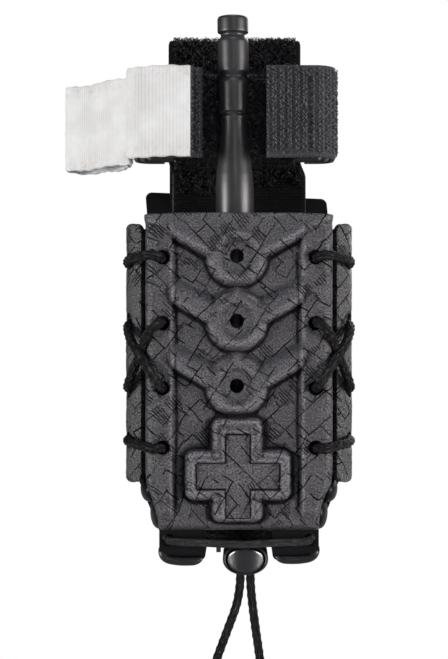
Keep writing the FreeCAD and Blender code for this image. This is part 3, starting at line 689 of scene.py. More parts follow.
# =====================================================================
# materials.  Weights inside a sum set each pattern's share of it.
# =====================================================================
def laminate_lines(mat, u, v):
    """Broken angular outlines and groups of parallel lines: 1 on a line, 0 between."""
    wobble_u = mat.noise(mat.vec(u, v), scale=0.17, detail=1.0) - 0.5
    wobble_v = mat.noise(mat.vec(v, u), scale=0.13, detail=1.0) - 0.5
    u_bent, v_bent = u + wobble_u * 1.3, v + wobble_v * 1.3

    def turned(degrees):
        c, s = cos(radians(degrees)), sin(radians(degrees))
        return u_bent * c + v_bent * s, v_bent * c - u_bent * s

    def maze(x, y, width, height, seed, left_share, base_share, stagger):
        """Cells that each draw their left and base side at random."""
        half, soft = 0.155, 0.06  # half line width, blur
        middle = half + 0.05
        row = (y / height).floor()
        x = x + mat.random(row, seed + 2.2) * width * stagger
        col = (x / width).floor()
        cell_x, cell_y = (x / width).fract() * width, (y / height).fract() * height
        left_pick = mat.random(col, row, seed + 0.37)
        base_pick = mat.random(col, row, seed + 5.11)
        left = (cell_x - middle).abs().ramp(half - soft, half + soft, 1, 0)
        left = left * left_pick.below(left_share)
        base = (cell_y - middle).abs().ramp(half - soft, half + soft, 1, 0)
        return left.max(base * base_pick.below(base_share))

    def hatch(x, y):
        """Cells of parallel lines with uneven ends."""
        width, height, pitch, seed, share = 6.4, 4.8, 0.74, 8.0, 0.38
        col, row = (x / width).floor(), (y / height).floor()
        cell_x, cell_y = (x / width).fract() * width, (y / height).fract() * height
        pick = mat.random(col, row, seed)
        line = ((cell_y / pitch).fract() - 0.5).abs().ramp(0.10, 0.26, 1, 0) * 0.85
        trim = mat.random(col, (cell_y / pitch).floor(), seed + 3.3) * 1.6
        line = line * pick.below(share) * cell_y.below(height - 1.1)
        return line * cell_x.above(trim) * (cell_x + trim).below(width - 0.3)

    x, y = turned(58)
    wide = maze(x, y, width=5.2, height=3.5, seed=1.0,
                left_share=0.62, base_share=0.70, stagger=0.5)
    x, y = turned(44)
    tall = maze(x + 1.7, y + 0.9, width=3.9, height=5.6, seed=4.0,
                left_share=0.58, base_share=0.62, stagger=0.4)
    tall_zone = mat.noise(mat.vec(u, v), scale=0.10, detail=0.0).ramp(0.49, 0.50)
    outlines = wide * (1 - tall_zone) + tall * tall_zone
    hatching = hatch(*turned(-48))
    hatch_zone = mat.noise(mat.vec(v, u), scale=0.12, detail=0.0).ramp(0.505, 0.515)
    return (outlines * (1 - hatch_zone * 0.3)).max(hatching * hatch_zone)


def laminate(name, base, light):
    mat = Shader(name, rough=0.45, spec=0.5)
    u, v = mat.uv()
    lines = laminate_lines(mat, u, v)
    vec = mat.vec(u, v)
    grain = mat.value("ShaderNodeTexVoronoi", "Distance", {"Scale": 1.9, "Vector": vec})
    strand_v = mat.noise(mat.vec(u * 2.2, v * 0.9), scale=1.5, detail=2.0, rough=0.6)
    strand_u = mat.noise(mat.vec(u * 0.8, v * 2.4), scale=1.5, detail=2.0, rough=0.6)
    fine = mat.noise(vec, scale=3.4, detail=3.0, rough=0.62)
    patch = mat.noise(vec, scale=0.06)
    # relief attribute: painted highlight on crests, painted shade in hollows
    relief = mat.value("ShaderNodeAttribute", "Fac", attribute_name="relief")
    crest, hollow_shade = relief.ramp(0.03, 0.5), (relief * -1).ramp(0.04, 0.34)
    speck = mat.noise(vec, scale=2.0, detail=2.0, rough=0.7)
    # each layer: how much of it shows, then its colour
    color = mat.mix((patch * 0.5 + fine * 0.6).ramp(0.3, 0.8), base, light)
    for amount, tint in (
        # dark and light specks of the grain's own tone; the light specks also paint glints
        (speck.ramp(0.48, 0.37) * 0.6, np.multiply(base, 0.3)),
        (speck.ramp(0.54, 0.68) * 0.55, np.multiply(light, 2.2)),
        (grain.ramp(0.28, 0.62) * 0.35, np.multiply(base, 0.45)),
        # painted glints on the crests
        (crest * speck.ramp(0.42, 0.6) * 0.85, np.multiply(light, 3.4)),
        # painted bluish shade in the hollows
        (hollow_shade * 0.9, np.multiply(base, (0.12, 0.14, 0.19))),
        # the pressed pattern's lines, darkened as painted shade in their grooves
        (lines * 0.93, np.multiply(base, (0.06, 0.06, 0.07))),
    ):
        color = mat.mix(amount, color, tint)
    mat.set("Base Color", color)
    rough = (fine * 0.34 + patch * 0.12 + 0.17) - crest * 0.08 + hollow_shade * 0.3
    mat.set("Roughness", rough.clamp())
    shine = speck.ramp(0.36, 0.64) * 0.58 + crest * 0.75 + 0.34
    shine = shine * (lines * -0.95 + 1) * (hollow_shade * -0.85 + 1)
    mat.set("Specular IOR Level", shine.clamp())
    strands = (strand_v * 0.7 + strand_u * 0.7) * (crest * 0.9 + 0.6)
    height = grain * 0.6 + fine * 0.5 + speck * 1.0 + strands - lines * 1.7
    mat.bump(height, distance=0.26, strength=1.0)
    return mat.material


def plastic(name, base, rough, grain, scale, spec=0.5):
    """grain and scale are the height and frequency of the moulded texture."""
    mat = Shader(name, rough=rough, spec=spec)
    vec = mat.place()
    texture = mat.noise(vec, scale=scale, detail=3.0, rough=0.6)
    patch = mat.noise(vec, scale=0.12)
    scuff = mat.noise(vec, scale=0.9, detail=2.0, rough=0.5, distort=0.4)
    edge_lightening = mat.value("ShaderNodeNewGeometry", "Pointiness").ramp(0.505, 0.57)
    color = mat.mix(patch.ramp(0.3, 0.7), base, np.multiply(base, 1.35))
    # lighter colour on sharp convex edges
    color = mat.mix(edge_lightening * 0.35, color, np.multiply(base, 2.2) + 0.004)
    mat.set("Base Color", color)
    rough_map = patch * 0.16 + texture * 0.12 + (rough - 0.13) + scuff * 0.06
    mat.set("Roughness", rough_map.clamp())
    mat.bump(texture * grain + scuff * 0.15, distance=0.05, strength=0.8)
    return mat.material


def weave(name, base, light, rib, yarn, rough, depth, contrast=0.45, spec=0.2, sheen=0.0,
          fuzz=0.5, stain=None):
    """Plain narrow weave, ribs pitched along u, yarns along v; contrast: painted shade in gaps.
    """
    mat = Shader(name, rough=rough, spec=spec)
    mat.set("Sheen Weight", sheen)
    mat.set("Sheen Roughness", 0.45)
    u, v = mat.uv()
    vec = mat.vec(u, v)
    wobble = (mat.noise(vec, scale=0.5, detail=2.0) - 0.5) * 0.35
    across, along = (u + wobble) / rib, v / yarn
    shift = (across.floor() + 0.0).mod(2.0) * 0.5
    ribs, yarns = across.ridge(), (along + shift).ridge()
    height = ribs.power(0.6) * 0.65 + yarns.power(0.7) * 0.45
    fibre = mat.noise(vec, scale=5.0, detail=3.0, rough=0.65)
    patch = mat.noise(vec, scale=0.09)
    gap_shade = (height * 0.8 + fibre * 0.5).ramp(0.35, 1.25)
    # painted shade in the gaps between ribs and yarns
    color = mat.mix(gap_shade, np.multiply(base, contrast), base)
    color = mat.mix(patch.ramp(0.35, 0.7) * 0.6, color, light)
    if stain:
        color = stain(mat, u, v, color)
    mat.set("Base Color", color)
    mat.bump(height + fibre * fuzz, distance=depth, strength=0.9)
    return mat.material


def edge_stain(mat, u, v, color):
    """Brown soiling along both selvedges, with faint specks."""
    first = v.ramp(1.2, 4.5, 1, 0)
    second = v.ramp(20.5, 23.8, 0, 1) * v.ramp(26.0, 27.0, 1, 0)
    blotch = mat.noise(mat.vec(u, v), scale=0.35, detail=4.0, rough=0.7).ramp(0.45, 0.72)
    speck = mat.noise(mat.vec(u, v), scale=1.5, detail=2.0, rough=0.7).ramp(0.55, 0.75)
    return mat.mix(first.max(second) * blotch * 0.42 + speck * 0.08, color, (0.42, 0.30, 0.20))


def braided(name, base, light, coarse=1.0):
    """Diagonal yarns with pale flecks, painted shade and highlight streaks; coarse scales the
    yarns.
    """
    mat = Shader(name, rough=0.6, spec=0.22)
    u, v = mat.uv()
    vec = mat.vec(u, v)
    pitch, slant = 0.62 * coarse, 1.2
    left, right = (u + v * slant) / pitch, (u - v * slant) / pitch
    left_yarn, right_yarn = left.ridge(), right.ridge()
    over = (left.floor() + right.floor()).mod(2.0)
    height = left_yarn.power(0.6) * over + right_yarn.power(0.6) * (1 - over)
    fibre = mat.noise(vec, scale=5.0, detail=2.0, rough=0.6)
    fleck = mat.noise(mat.vec(u * 0.55, v * 1.3), scale=1.3, detail=2.0, rough=0.7)
    fleck = fleck.ramp(0.55, 0.68)
    highlight_streak = mat.noise(mat.vec(u * 0.25, v * 2.0), scale=1.2, detail=1.0).ramp(0.5, 0.66)
    # painted shade where the yarns dip
    color = mat.mix(height * 0.9, np.multiply(base, 0.3), base)
    # pale flecks, with streaks of painted highlight along the yarn crowns
    color = mat.mix((fleck * 0.6 + highlight_streak * 0.3) * height, color, light)
    mat.set("Base Color", color)
    mat.set("Roughness", (fibre * 0.25 + 0.36).clamp())
    mat.set("Specular IOR Level", (height * 0.25 + fleck * 0.5 + highlight_streak * 0.2).clamp())
    mat.bump(height * 0.9 + fibre * 0.5 + highlight_streak * 0.5, distance=0.2, strength=1.0)
    return mat.material


def filament(name, base, light, spec):
    mat = Shader(name, rough=0.5, spec=spec)
    vec = mat.place()
    tone = mat.noise(vec, scale=0.9, detail=2.0, rough=0.7)
    grain = mat.noise(vec, scale=3.0, detail=1.0)
    mat.set("Base Color", mat.mix(tone.ramp(0.4, 0.72), base, light))
    mat.set("Roughness", (grain * 0.3 + 0.26).clamp())
    mat.bump(grain, distance=0.03, strength=0.5)
    return mat.material


def metal(name, base, rough):
    mat = Shader(name, rough=rough, spec=0.5)
    mat.set("Metallic", 1.0)
    vec = mat.place()
    tone = mat.noise(vec, scale=1.2, detail=3.0, rough=0.6)
    grain = mat.noise(vec, scale=6.0, detail=2.0, rough=0.6)
    mat.set("Base Color", mat.mix(tone.ramp(0.3, 0.8), np.multiply(base, 0.75), base))
    mat.set("Roughness", (tone * 0.2 + grain * 0.1 + rough - 0.15).clamp())
    mat.bump(grain * 0.5 + tone * 0.4, distance=0.02, strength=0.6)
    return mat.material


FRONT_MAT = laminate("laminate_charcoal", (0.036, 0.0325, 0.037), (0.070, 0.0635, 0.0705))
REAR_MAT = laminate("laminate_flange", (0.046, 0.044, 0.0455), (0.078, 0.074, 0.0755))
TRAY = plastic("tray_black", (0.0020, 0.0020, 0.0023), rough=0.34, grain=0.35, scale=2.2,
               spec=0.2)
# a lighter copy of the tray black: painted highlight along the rolled lips, on a glossier finish
TRAY_LIP_HIGHLIGHT = plastic("tray_lip_black", (0.0050, 0.0048, 0.0052), rough=0.3, grain=0.35,
                   scale=2.2, spec=0.6)
CLIP = plastic("clip_black", (0.010, 0.010, 0.0112), rough=0.46, grain=0.8, scale=3.4)
WINDLASS = plastic("windlass_black", (0.0190, 0.0175, 0.0188), rough=0.34, grain=0.3,
                   scale=1.6, spec=0.65)
LOCK_BODY = plastic("lock_body_black", (0.007, 0.007, 0.0075), rough=0.34, grain=0.4,
                    scale=3.0)
LOCK_BUTTON = plastic("lock_plunger_gloss", (0.006, 0.0057, 0.0063), rough=0.2, grain=0.12,
                      scale=1.2, spec=0.9)
CORD = braided("cord_braided", (0.0042, 0.0040, 0.0043), (0.050, 0.048, 0.050))
CORD_TAUT = braided("cord_stretched", (0.030, 0.0295, 0.031), (0.085, 0.085, 0.087), 0.8)
CORD_TAIL = braided("cord_tail_dark", (0.0046, 0.0041, 0.0044), (0.012, 0.0112, 0.0114))
WEBBING = weave("band_webbing", (0.0014, 0.0014, 0.0018), (0.0050, 0.0050, 0.0060), rib=0.85,
                yarn=0.8, rough=0.55, depth=0.42, contrast=0.12, spec=0.12)
PILE = filament("band_pile", (0.0030, 0.0030, 0.0036), (0.0300, 0.0300, 0.0350), spec=0.6)
RIBBON = weave("ribbon_tape", (0.007, 0.007, 0.008), (0.012, 0.012, 0.0135), rib=0.7,
               yarn=0.45, rough=0.6, depth=0.14)
HOOK_TAPE = weave("hook_ground", (0.026, 0.026, 0.031), (0.044, 0.044, 0.051), rib=0.9,
                  yarn=0.9, rough=0.6, depth=0.22, contrast=0.35, spec=0.4, sheen=0.08)
HOOKS = {
    "right": filament("hook_monofil", (0.050, 0.051, 0.058), (0.17, 0.17, 0.185), spec=0.5),
    "left": filament("hook_monofil_black", (0.016, 0.016, 0.018), (0.110, 0.111, 0.120),
                     spec=0.6),
}
STEEL = metal("spring_steel", (0.55, 0.55, 0.56), rough=0.3)
BLACK_STEEL = metal("black_oxide", (0.045, 0.045, 0.048), rough=0.42)
WHITE_TAPE = weave("white_tape", (0.75, 0.74, 0.725), (0.86, 0.855, 0.845), rib=0.95,
                   yarn=0.42, rough=0.85, depth=0.12, contrast=0.80, fuzz=0.8,
                   stain=edge_stain)
GREY_THREAD = braided("thread_grey", (0.045, 0.045, 0.048), (0.16, 0.16, 0.165), 2.2)
BLACK_THREAD = braided("thread_black", (0.014, 0.014, 0.015), (0.06, 0.06, 0.063), 2.2)
WHITE_THREAD = braided("thread_white", (0.62, 0.61, 0.59), (0.75, 0.74, 0.72), 2.2)


# =====================================================================
# front shell
# =====================================================================
FACE_Y, SHELL_T = -39.2, 1.8
FACE_HALF, EDGE_R = 25.8, 2.4  # half width, and the bend into the side walls
FACE_FLAT = FACE_HALF - EDGE_R
WALL_DEPTH = 5.8
FACE_TOP, FACE_LOW, FOOT_R = 32.2, -53.3, 2.3  # the foot bends back below FACE_LOW
HOLE_R = 2.15
PORT_X, PORT_Z = -0.6, (20.4, 2.5, -15.4)  # central holes
LACE_X, LACE_Z = 21.2, (20.1, 1.9, -16.1, -32.5)  # lace holes in the face
RAIL_Z = (19.6, 2.5, -16.9, -31.2)  # lace holes in the rear shell's flanges
CROSS_X, CROSS_Z = -0.3, -40.3


def face_grit(x, z):
    return 0.13 * lumps(x + 0.35 * z, z, 0.62, 7) + 0.10 * lumps(x, z + 0.5 * x, 0.95, 8)


def cross_field(x, z):
    """Distance inside the cross's sunk field."""
    x, z = x - CROSS_X, z - CROSS_Z
    return np.maximum(box_distance(x, z, 11.5, 3.65, 0.4), box_distance(x, z, 3.4, 11.6, 0.4))


def port_relief(height, x, z):
    """Raised rings round the ports, with a V-shaped rib at each of the lower two."""
    side = abs(x - PORT_X)
    radii = [np.hypot(x - PORT_X, z - port_z) for port_z in PORT_Z]
    for number, (port_z, radius) in enumerate(zip(PORT_Z, radii)):
        ring = quarter_round((8.75 - radius) / 2.7) * (2.55 + 0.55 * bell(radius - 6.2, 1.3))
        if number:
            low_ring = np.minimum(ring, quarter_round((10.0 - radius) / 4.5) * 2.5)
            ring = np.where(z > port_z, low_ring, ring)
        height = np.maximum(height, ring)
        if number:
            slope = np.where(side > 6.6, 0.521 * (side - 6.6), (6.6 - side) * 0.62)
            upper = np.minimum(port_z + 6.5 + slope, port_z + 14.5)
            lower = port_z - 0.6 + 0.58 * (side - 9.0)
            below_top, above_foot = (upper - z) / 1.13, (z - lower) / 1.155
            rib = np.minimum(3.2 * np.sin(np.clip(below_top / 4.0, 0, 1) * pi / 2) ** 0.9,
                             3.2 * quarter_round(above_foot / 2.6))
            height = np.maximum(height, rib * ease(19.9 - side, 0.0, 2.2))
    for radius in radii:  # dished round each hole
        height = height - 0.75 * ease(5.4 - radius, 0, 1.4) - 0.3 * ease(3.1 - radius, 0, 0.8)
    return height


def cross_relief(height, x, z):
    """A rolled border round the sunk cross, and the field's crisp edge and dimples."""
    x0, z0 = x - CROSS_X, z - CROSS_Z
    border = np.maximum(box_distance(x0, z0 - 0.2, 14.5, 6.9, 2.6),
                        box_distance(x0 + 0.2, z0 - 1.7, 6.9, 14.4, 2.4))
    groove = bell(np.minimum(border, 0) + 0.7, 0.9) * (border < 0.4)
    height = height - 0.75 * groove
    roll = 2.95 * quarter_round((border + 0.15) / 1.9)
    height = np.where(border > -0.15, np.maximum(height, roll), height)
    crisp = -0.85 * ease(cross_field(x, z), -0.18, 0.2)
    # dimple centres from the cross's middle
    for dimple_x, dimple_z in ((-4.2, 12.6), (4.5, 12.9), (-6.0, 5.9), (5.6, 6.2),
                               (-6.2, -6.1), (5.6, -5.7)):
        radius = np.hypot(x0 - dimple_x, z0 - dimple_z)
        crisp = crisp - 0.32 * bell(radius - 1.25, 0.32) + 0.22 * ease(1.1 - radius, 0, 0.4)
    return height, crisp


def face_relief(x, z):
    """Broad relief and crisp relief of the front shell, mm outwards."""
    side = abs(x - PORT_X)
    margins = np.maximum(ease(-x, 17.7, 18.7), ease(x, 16.6, 17.6))
    height = 1.45 * margins * ease(z, -54, -49)
    # the top field starts at a line that climbs to both sides
    above = (z - 20.2 - 0.5625 * (side - 9.2)) / 1.147
    top = quarter_round(above / 2.3) * (1.95 + 0.95 * bell(above - 2.4, 2.0))
    height = np.maximum(height, top * np.where(side < 18.6, 1, 0.8))
    height = port_relief(height, x, z)
    height, crisp = cross_relief(height, x, z)
    # folds pressed in along the foot of the top field and the inner edge of each margin
    crisp = crisp - 0.35 * bell(above + 0.25, 0.35) * (side < 18.2) * (side > 8.0)
    for fold_x in (-17.45, 16.35):
        crisp = crisp - 0.4 * bell(x - fold_x, 0.35) * ease(z, -51, -47) * (z < 21.5)
    # puckers round the lace holes and soft swellings between them
    for hole_z in LACE_Z:
        for sign in (-1, 1):
            radius = np.hypot(x - sign * LACE_X, z - hole_z)
            height = height - 0.6 * bell(radius - 1.6, 1.7)
    for swell_z, amount in ((11.4, 0.6), (-6.6, 0.6), (-24.4, 0.6), (-40.5, 0.4)):
        for sign in (-1, 1):
            height = height + amount * bell(x - sign * 21.6, 2.4) * bell(z - swell_z, 3.8)
    for amount, size, seed in ((0.24, 6.5, 3), (0.13, 2.6, 4), (0.07, 1.1, 6)):
        height = height + amount * lumps(x, z, size, seed)
    return height, crisp + face_grit(x, z)


def painted_relief_light(x, z, height, crisp, fade):
    """Painted light for the shader: highlight on crests (positive), shade in hollows (negative).
    """
    wide = blur(height, 14)
    grit = face_grit(x, z)
    tone = (height - wide) / 0.9 + (crisp - grit * fade) * 0.6
    # painted shade: ground below a rib darkened more than above it; down-facing crests lighter
    slope = np.gradient(blur(wide, 6), axis=1) / np.minimum(np.gradient(z, axis=1), -1e-3)
    tone = np.where(tone < 0, tone * (0.42 + 0.5 * ease(slope, -0.05, 0.25)),
                    tone * (1.0 + 0.5 * ease(slope, 0.05, 0.3)))
    # the cross: an even field, painted shade at its foot and a painted highlight on its rim
    field = cross_field(x, z)
    tone = np.where(field > 0.25, 0.13 + 0.5 * grit, tone)
    tone = np.where(abs(field - 0.05) < 0.24, -0.45, tone)
    return tone + 0.35 * bell(field + 0.75, 0.4)


def front_shell():
    cell = 0.28
    half = FACE_FLAT + EDGE_R * pi / 2 + WALL_DEPTH
    tall = FACE_TOP - FACE_LOW + FOOT_R * pi / 2
    columns, rows = int(round(2 * half / cell)), int(round(tall / cell))
    along, up = np.meshgrid(np.linspace(-half, half, columns + 1),
                            FACE_TOP - np.linspace(0, tall, rows + 1), indexing="ij")
    holes = [(sign * LACE_X, z, HOLE_R) for z in LACE_Z for sign in (-1, 1)]
    holes += [(PORT_X, z, HOLE_R) for z in PORT_Z]
    along, up, keep = warp_for_holes(along, up, cell, holes)
    # half widths by height, narrowing towards the foot
    left = np.interp(up, [-60, -55, -51, -47, -42.5, -39.5],
                     [22.3, 22.35, 22.7, 23.9, 25.5, FACE_HALF])
    right = np.interp(up, [-60, -55, -49, -46, -42.5, -39.5],
                      [22.1, 22.2, 22.6, 23.6, 25.4, FACE_HALF])
    flat = np.where(along < 0, left, right) - EDGE_R
    reach, sign = abs(along), np.sign(along)
    bend = np.clip((reach - FACE_FLAT) / EDGE_R, 0, pi / 2)
    foot = np.clip((FACE_LOW - up) / FOOT_R, 0, pi / 2)
    x = sign * np.where(reach <= FACE_FLAT, reach / FACE_FLAT * flat,
                        flat + EDGE_R * np.sin(bend))
    y = (FACE_Y + EDGE_R * (1 - np.cos(bend))
         + np.maximum(0, reach - FACE_FLAT - EDGE_R * pi / 2)
         + FOOT_R * (1 - np.cos(foot)) * np.cos(bend))
    face_z = np.maximum(up, FACE_LOW)
    z = face_z - FOOT_R * np.sin(foot)
    z = z - 0.5 * ease(up, 22, 32) * (abs(x) / FACE_HALF) ** 4
    normals = np.stack([sign * np.sin(bend), -np.cos(bend) * np.cos(foot),
                        -np.sin(foot) * np.cos(bend) - 1e-9], -1)
    normals /= np.linalg.norm(normals, axis=-1)[..., None]
    fade = np.cos(bend) ** 1.5 * np.cos(foot)
    height, crisp = face_relief(x, face_z)
    height, crisp = blur(height * fade, 1), crisp * fade
    # painted highlight and painted shade over the relief, for the laminate shader
    tone = painted_relief_light(x, up, height, crisp, fade)
    outer = np.stack([x, y, z], -1) + normals * (height + crisp)[..., None]
    obj = sheet("shell_front", FRONT_MAT, outer, normals, SHELL_T, keep, (along, up),
                bulge=0.25, relief=tone, flip=True)
    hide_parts("front_shell")
    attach(obj, "carrier")


# =====================================================================
# rear shell: one sheet, back and rounded flanges
# =====================================================================
def rear_outline():
    """Rows of x, y, normal x, normal y from the left flange's lip round to the right's."""
    flange_r, flange_x, flange_y, back_r = 8.5, 23.35, -24.5, 5.0
    flange, back = np.linspace(radians(62), 0, 40), np.linspace(0, pi / 2, 24)
    back_x = flange_x + flange_r - back_r
    half = np.stack([
        np.append(-flange_x - flange_r * np.cos(flange), -back_x - back_r * np.cos(back)),
        np.append(flange_y - flange_r * np.sin(flange), -back_r + back_r * np.sin(back)),
        np.append(-np.cos(flange), -np.cos(back)),
        np.append(-np.sin(flange), np.sin(back))], -1)
    return np.vstack([half, half[::-1] * (-1, 1, -1, 1)]), radians(62 - 20) * flange_r


def rear_shell():
    cell = 0.36
    low, top = -43.1, 30.0
    outline, hole_reach = rear_outline()
    lengths = distances(outline[:, :2])
    total = lengths[-1]
    columns, rows = int(round(total / cell)), int(round((top - low) / cell))
    along, up = np.meshgrid(np.linspace(0, total, columns + 1),
                            np.linspace(low, top, rows + 1), indexing="ij")
    centres = [(s, z) for z in RAIL_Z for s in (hole_reach, total - hole_reach)]
    along, up, keep = warp_for_holes(along, up, cell, [(s, z, 2.35) for s, z in centres])
    x, y, normal_x, normal_y = (np.interp(along, lengths, part) for part in outline.T)
    normals = np.stack([normal_x, normal_y, np.zeros_like(normal_x)], -1)
    normals /= np.linalg.norm(normals, axis=-1)[..., None]
    # top and bottom edges curve in towards the flange lips
    corner = 2.6
    inset = np.minimum(along, total - along)
    arc = corner - np.sqrt(np.maximum(0, corner * corner - (corner - inset) ** 2))
    drop = np.where(inset < corner, arc, 0.0) + 0.4 * ease(9.5 - inset, 0, 9.0)
    drop = drop + 1.3 * np.clip((abs(x) - 29.4) / 2.45, 0, 1) ** 3
    top_edge, low_edge = top + 0.35 - drop, low - 0.2 + drop
    top_from, low_from = 23.5, -36.5
    top_z = top_from + (up - top_from) * (top_edge - top_from) / (top - top_from)
    low_z = low_from + (up - low_from) * (low_edge - low_from) / (low - low_from)
    z = np.where(up > top_from, top_z, np.where(up < low_from, low_z, up))
    height = 0.40 + 0.16 * lumps(along, up, 7.0, 9) + 0.06 * lumps(along, up, 2.4, 5)
    for hole_s, hole_z in centres:
        height = height - 0.35 * bell(np.hypot(along - hole_s, up - hole_z) - 1.8, 1.4)
    grit = 0.12 * lumps(along, up, 0.62, 11) + 0.09 * lumps(along, up + 0.5 * along, 0.95, 12)
    height = height * ease(abs(x), 26, 30) + grit * ease(abs(x), 28, 31.5)
    outer = np.stack([x, y, z], -1) + normals * height[..., None]
    obj = sheet("shell_rear", REAR_MAT, outer, normals, SHELL_T, keep, (along, up), bulge=0.3,
                relief=np.zeros_like(x))
    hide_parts("rear_shell")
    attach(obj, "carrier")


# =====================================================================
# cords
# =====================================================================
LOCK_X, LOCK_Y, LOCK_Z = 1.8, -29.3, -64.1
CORD_GAP = 1.42  # each cord's distance from the lock's middle
LACE_END_Z = -68.8
CORD_STEP = 0.22
# tail centre lines, x y z from the tail's top
TAILS = {
    "left": [(0, 0, 1.2), (0, 0, 0), (-0.25, 0, -3.0), (-1.1, -0.1, -7.5), (-3.6, -0.2, -14.5),
             (-6.2, -0.1, -21.5), (-7.9, 0.0, -26.5), (-9.0, 0.1, -30.5)],
    "right": [(0, 0, 1.2), (0, 0, 0), (0.15, 0, -3.0), (0.6, 0.1, -7.5), (1.5, 0.2, -14.5),
              (2.5, 0.2, -21.5), (3.1, 0.1, -26.5), (3.5, 0.0, -30.5)],
}


def lace_points(sign):
    """Centre line from the third face hole, in and out of the holes, down to the lock."""
    face1, face2, face3, face4 = LACE_Z
    rail1, rail2, rail3, rail4 = RAIL_Z
    inside = -35.6
    half = [
        (18.4, -34.6, face3 + 9.5), (19.6, -35.2, face3 + 5.0), (20.7, -36.0, face3 + 2.0),
        (21.2, -38.9, face3 + 0.1), (22.0, -41.9, face3 + 0.9), (24.4, -42.2, face3 + 4.6),
        (27.6, -39.7, face3 + 9.3), (30.1, -35.6, face3 + 13.2), (31.3, -31.4, rail2 - 2.2),
        (31.2, -28.6, rail2 - 1.1), (29.8, -26.8, rail2 - 0.2), (28.0, -25.9, rail2 + 2.2),
        (27.2, -25.5, (rail1 + rail2) / 2), (28.0, -25.9, rail1 - 3.6),
        (29.8, -26.8, rail1 - 1.6), (31.2, -28.6, rail1 - 1.0), (31.3, -31.4, rail1 - 0.3),
        (29.7, -35.8, rail1 + 0.5), (26.6, -40.0, rail1 + 0.9), (23.6, -42.0, face1 + 0.5),
        (21.7, -40.2, face1 - 0.1), (21.2, -37.2, face1 - 1.4), (21.0, inside, face1 - 4.6),
        (20.9, inside + 0.2, (face1 + face2) / 2), (21.0, inside, face2 + 4.6),
        (21.2, -37.2, face2 + 1.4), (21.7, -40.2, face2 + 0.1), (23.2, -42.1, face2 - 0.9),
        (25.4, -40.9, face2 - 3.6), (27.2, -37.8, face2 - 8.2), (29.3, -35.1, face2 - 12.6),
        (31.3, -31.4, rail3 + 1.2), (31.2, -28.6, rail3 + 0.4), (29.8, -26.8, rail3 - 0.3),
        (28.0, -25.9, rail3 - 2.4), (27.4, -25.6, (rail3 + rail4) / 2),
        (28.0, -25.9, rail4 + 2.6), (29.8, -26.8, rail4 + 0.6), (31.2, -28.6, rail4 + 0.2),
        (31.3, -31.4, rail4), (29.7, -35.8, rail4 - 0.5), (26.6, -40.0, rail4 - 0.9),
        (23.6, -42.0, face4 - 0.3), (21.7, -40.2, face4 - 0.1), (21.2, -37.2, face4 - 1.4),
        (21.0, inside, face4 - 4.8), (20.4, -34.2, face4 - 9.5), (18.6, -32.6, face4 - 15.5),
        (15.2, -31.2, face4 - 20.5), (10.4, -30.1, face4 - 24.4),
    ]
    # into the lock: x outwards from the cord's own line, y, z
    entry = [(2.3, -29.35, -57.4), (1.15, LOCK_Y, -58.4), (0.45, LOCK_Y, -59.4),
             (0.13, LOCK_Y, -60.4), (0, LOCK_Y, -61.8), (0, LOCK_Y, -63.6),
             (0, LOCK_Y, LACE_END_Z + 1.6)]
    line_x = LOCK_X + sign * CORD_GAP
    return ([(sign * x, y, z) for x, y, z in half]
            + [(line_x + sign * x, y, z) for x, y, z in entry])


def lace_and_tail(sign, side):
    mesh = Mesh()
    tube(mesh, catmull(lace_points(sign), CORD_STEP), 1.3, segments=30, braid=0.24)
    obj = mesh.build("lace_" + side, CORD, "cord")
    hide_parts("shock_cord_" + side)
    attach(obj, "carrier")

    tail_x = LOCK_X + sign * CORD_GAP
    tail_z = LACE_END_Z - 1.32 - 0.12
    points = [(tail_x, LOCK_Y, LACE_END_Z + 1.8)]
    points += [(tail_x + x, LOCK_Y + y, tail_z + z) for x, y, z in TAILS[side]]
    mesh = Mesh()
    tube(mesh, catmull(points, CORD_STEP), 1.22, segments=24, braid=0.16)
    obj = mesh.build("tail_" + side, CORD_TAIL, "cord")
    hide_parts("cord_tail_" + side)
    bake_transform(obj)

    # sealed end
    end = np.array(points[-1])
    heading = end - np.array(points[-2])
    heading = heading / np.linalg.norm(heading)
    centres = np.array([end + heading * t for t in (-0.5, -0.2, 0.1, 0.4, 0.62, 0.74)])
    mesh = Mesh()
    tube(mesh, centres, np.array([1.24, 1.34, 1.36, 1.22, 0.9, 0.4]), segments=24)
    obj = mesh.build("tail_end_" + side, CLIP, "cord")
    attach(obj, "tail_" + side)


def cross_cord():
    """Cord across the foot of the front, with a knot at each end inside."""
    half = [(19.7, -31.0, -57.7), (19.7, -33.8, -58.1), (19.65, -36.6, -58.4),
            (18.9, -38.9, -58.5), (16.6, -39.75, -58.6), (11.0, -39.85, -58.75),
            (5.0, -39.95, -59.05)]
    points = [(-x, y, z) for x, y, z in half]
    points += [(0.6, -40.0, -59.25), (2.6, -40.0, -59.2)]
    points += [(x + 0.3 if x < 15 else x, y, z) for x, y, z in reversed(half)]
    mesh = Mesh()
    tube(mesh, catmull(points, CORD_STEP), 1.06, segments=24, braid=0.03)
    end_x, end_y, end_z = half[0]
    for sign in (-1, 1):
        centres = np.array([(sign * end_x, end_y + t, end_z)
                            for t in np.linspace(-0.6, 3.6, 18)])
        radii = 1.12 + 1.1 * np.sin(np.linspace(0, pi, 18)) ** 0.6
        tube(mesh, centres, radii, segments=24, braid=0.3)
    obj = mesh.build("cord_across", CORD_TAUT, "cord")
    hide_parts("cross_cord")
    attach(obj, "carrier")


# =====================================================================
# cord lock
# =====================================================================
CORD_PASSAGE = 2.95  # half width of the opening for both cords


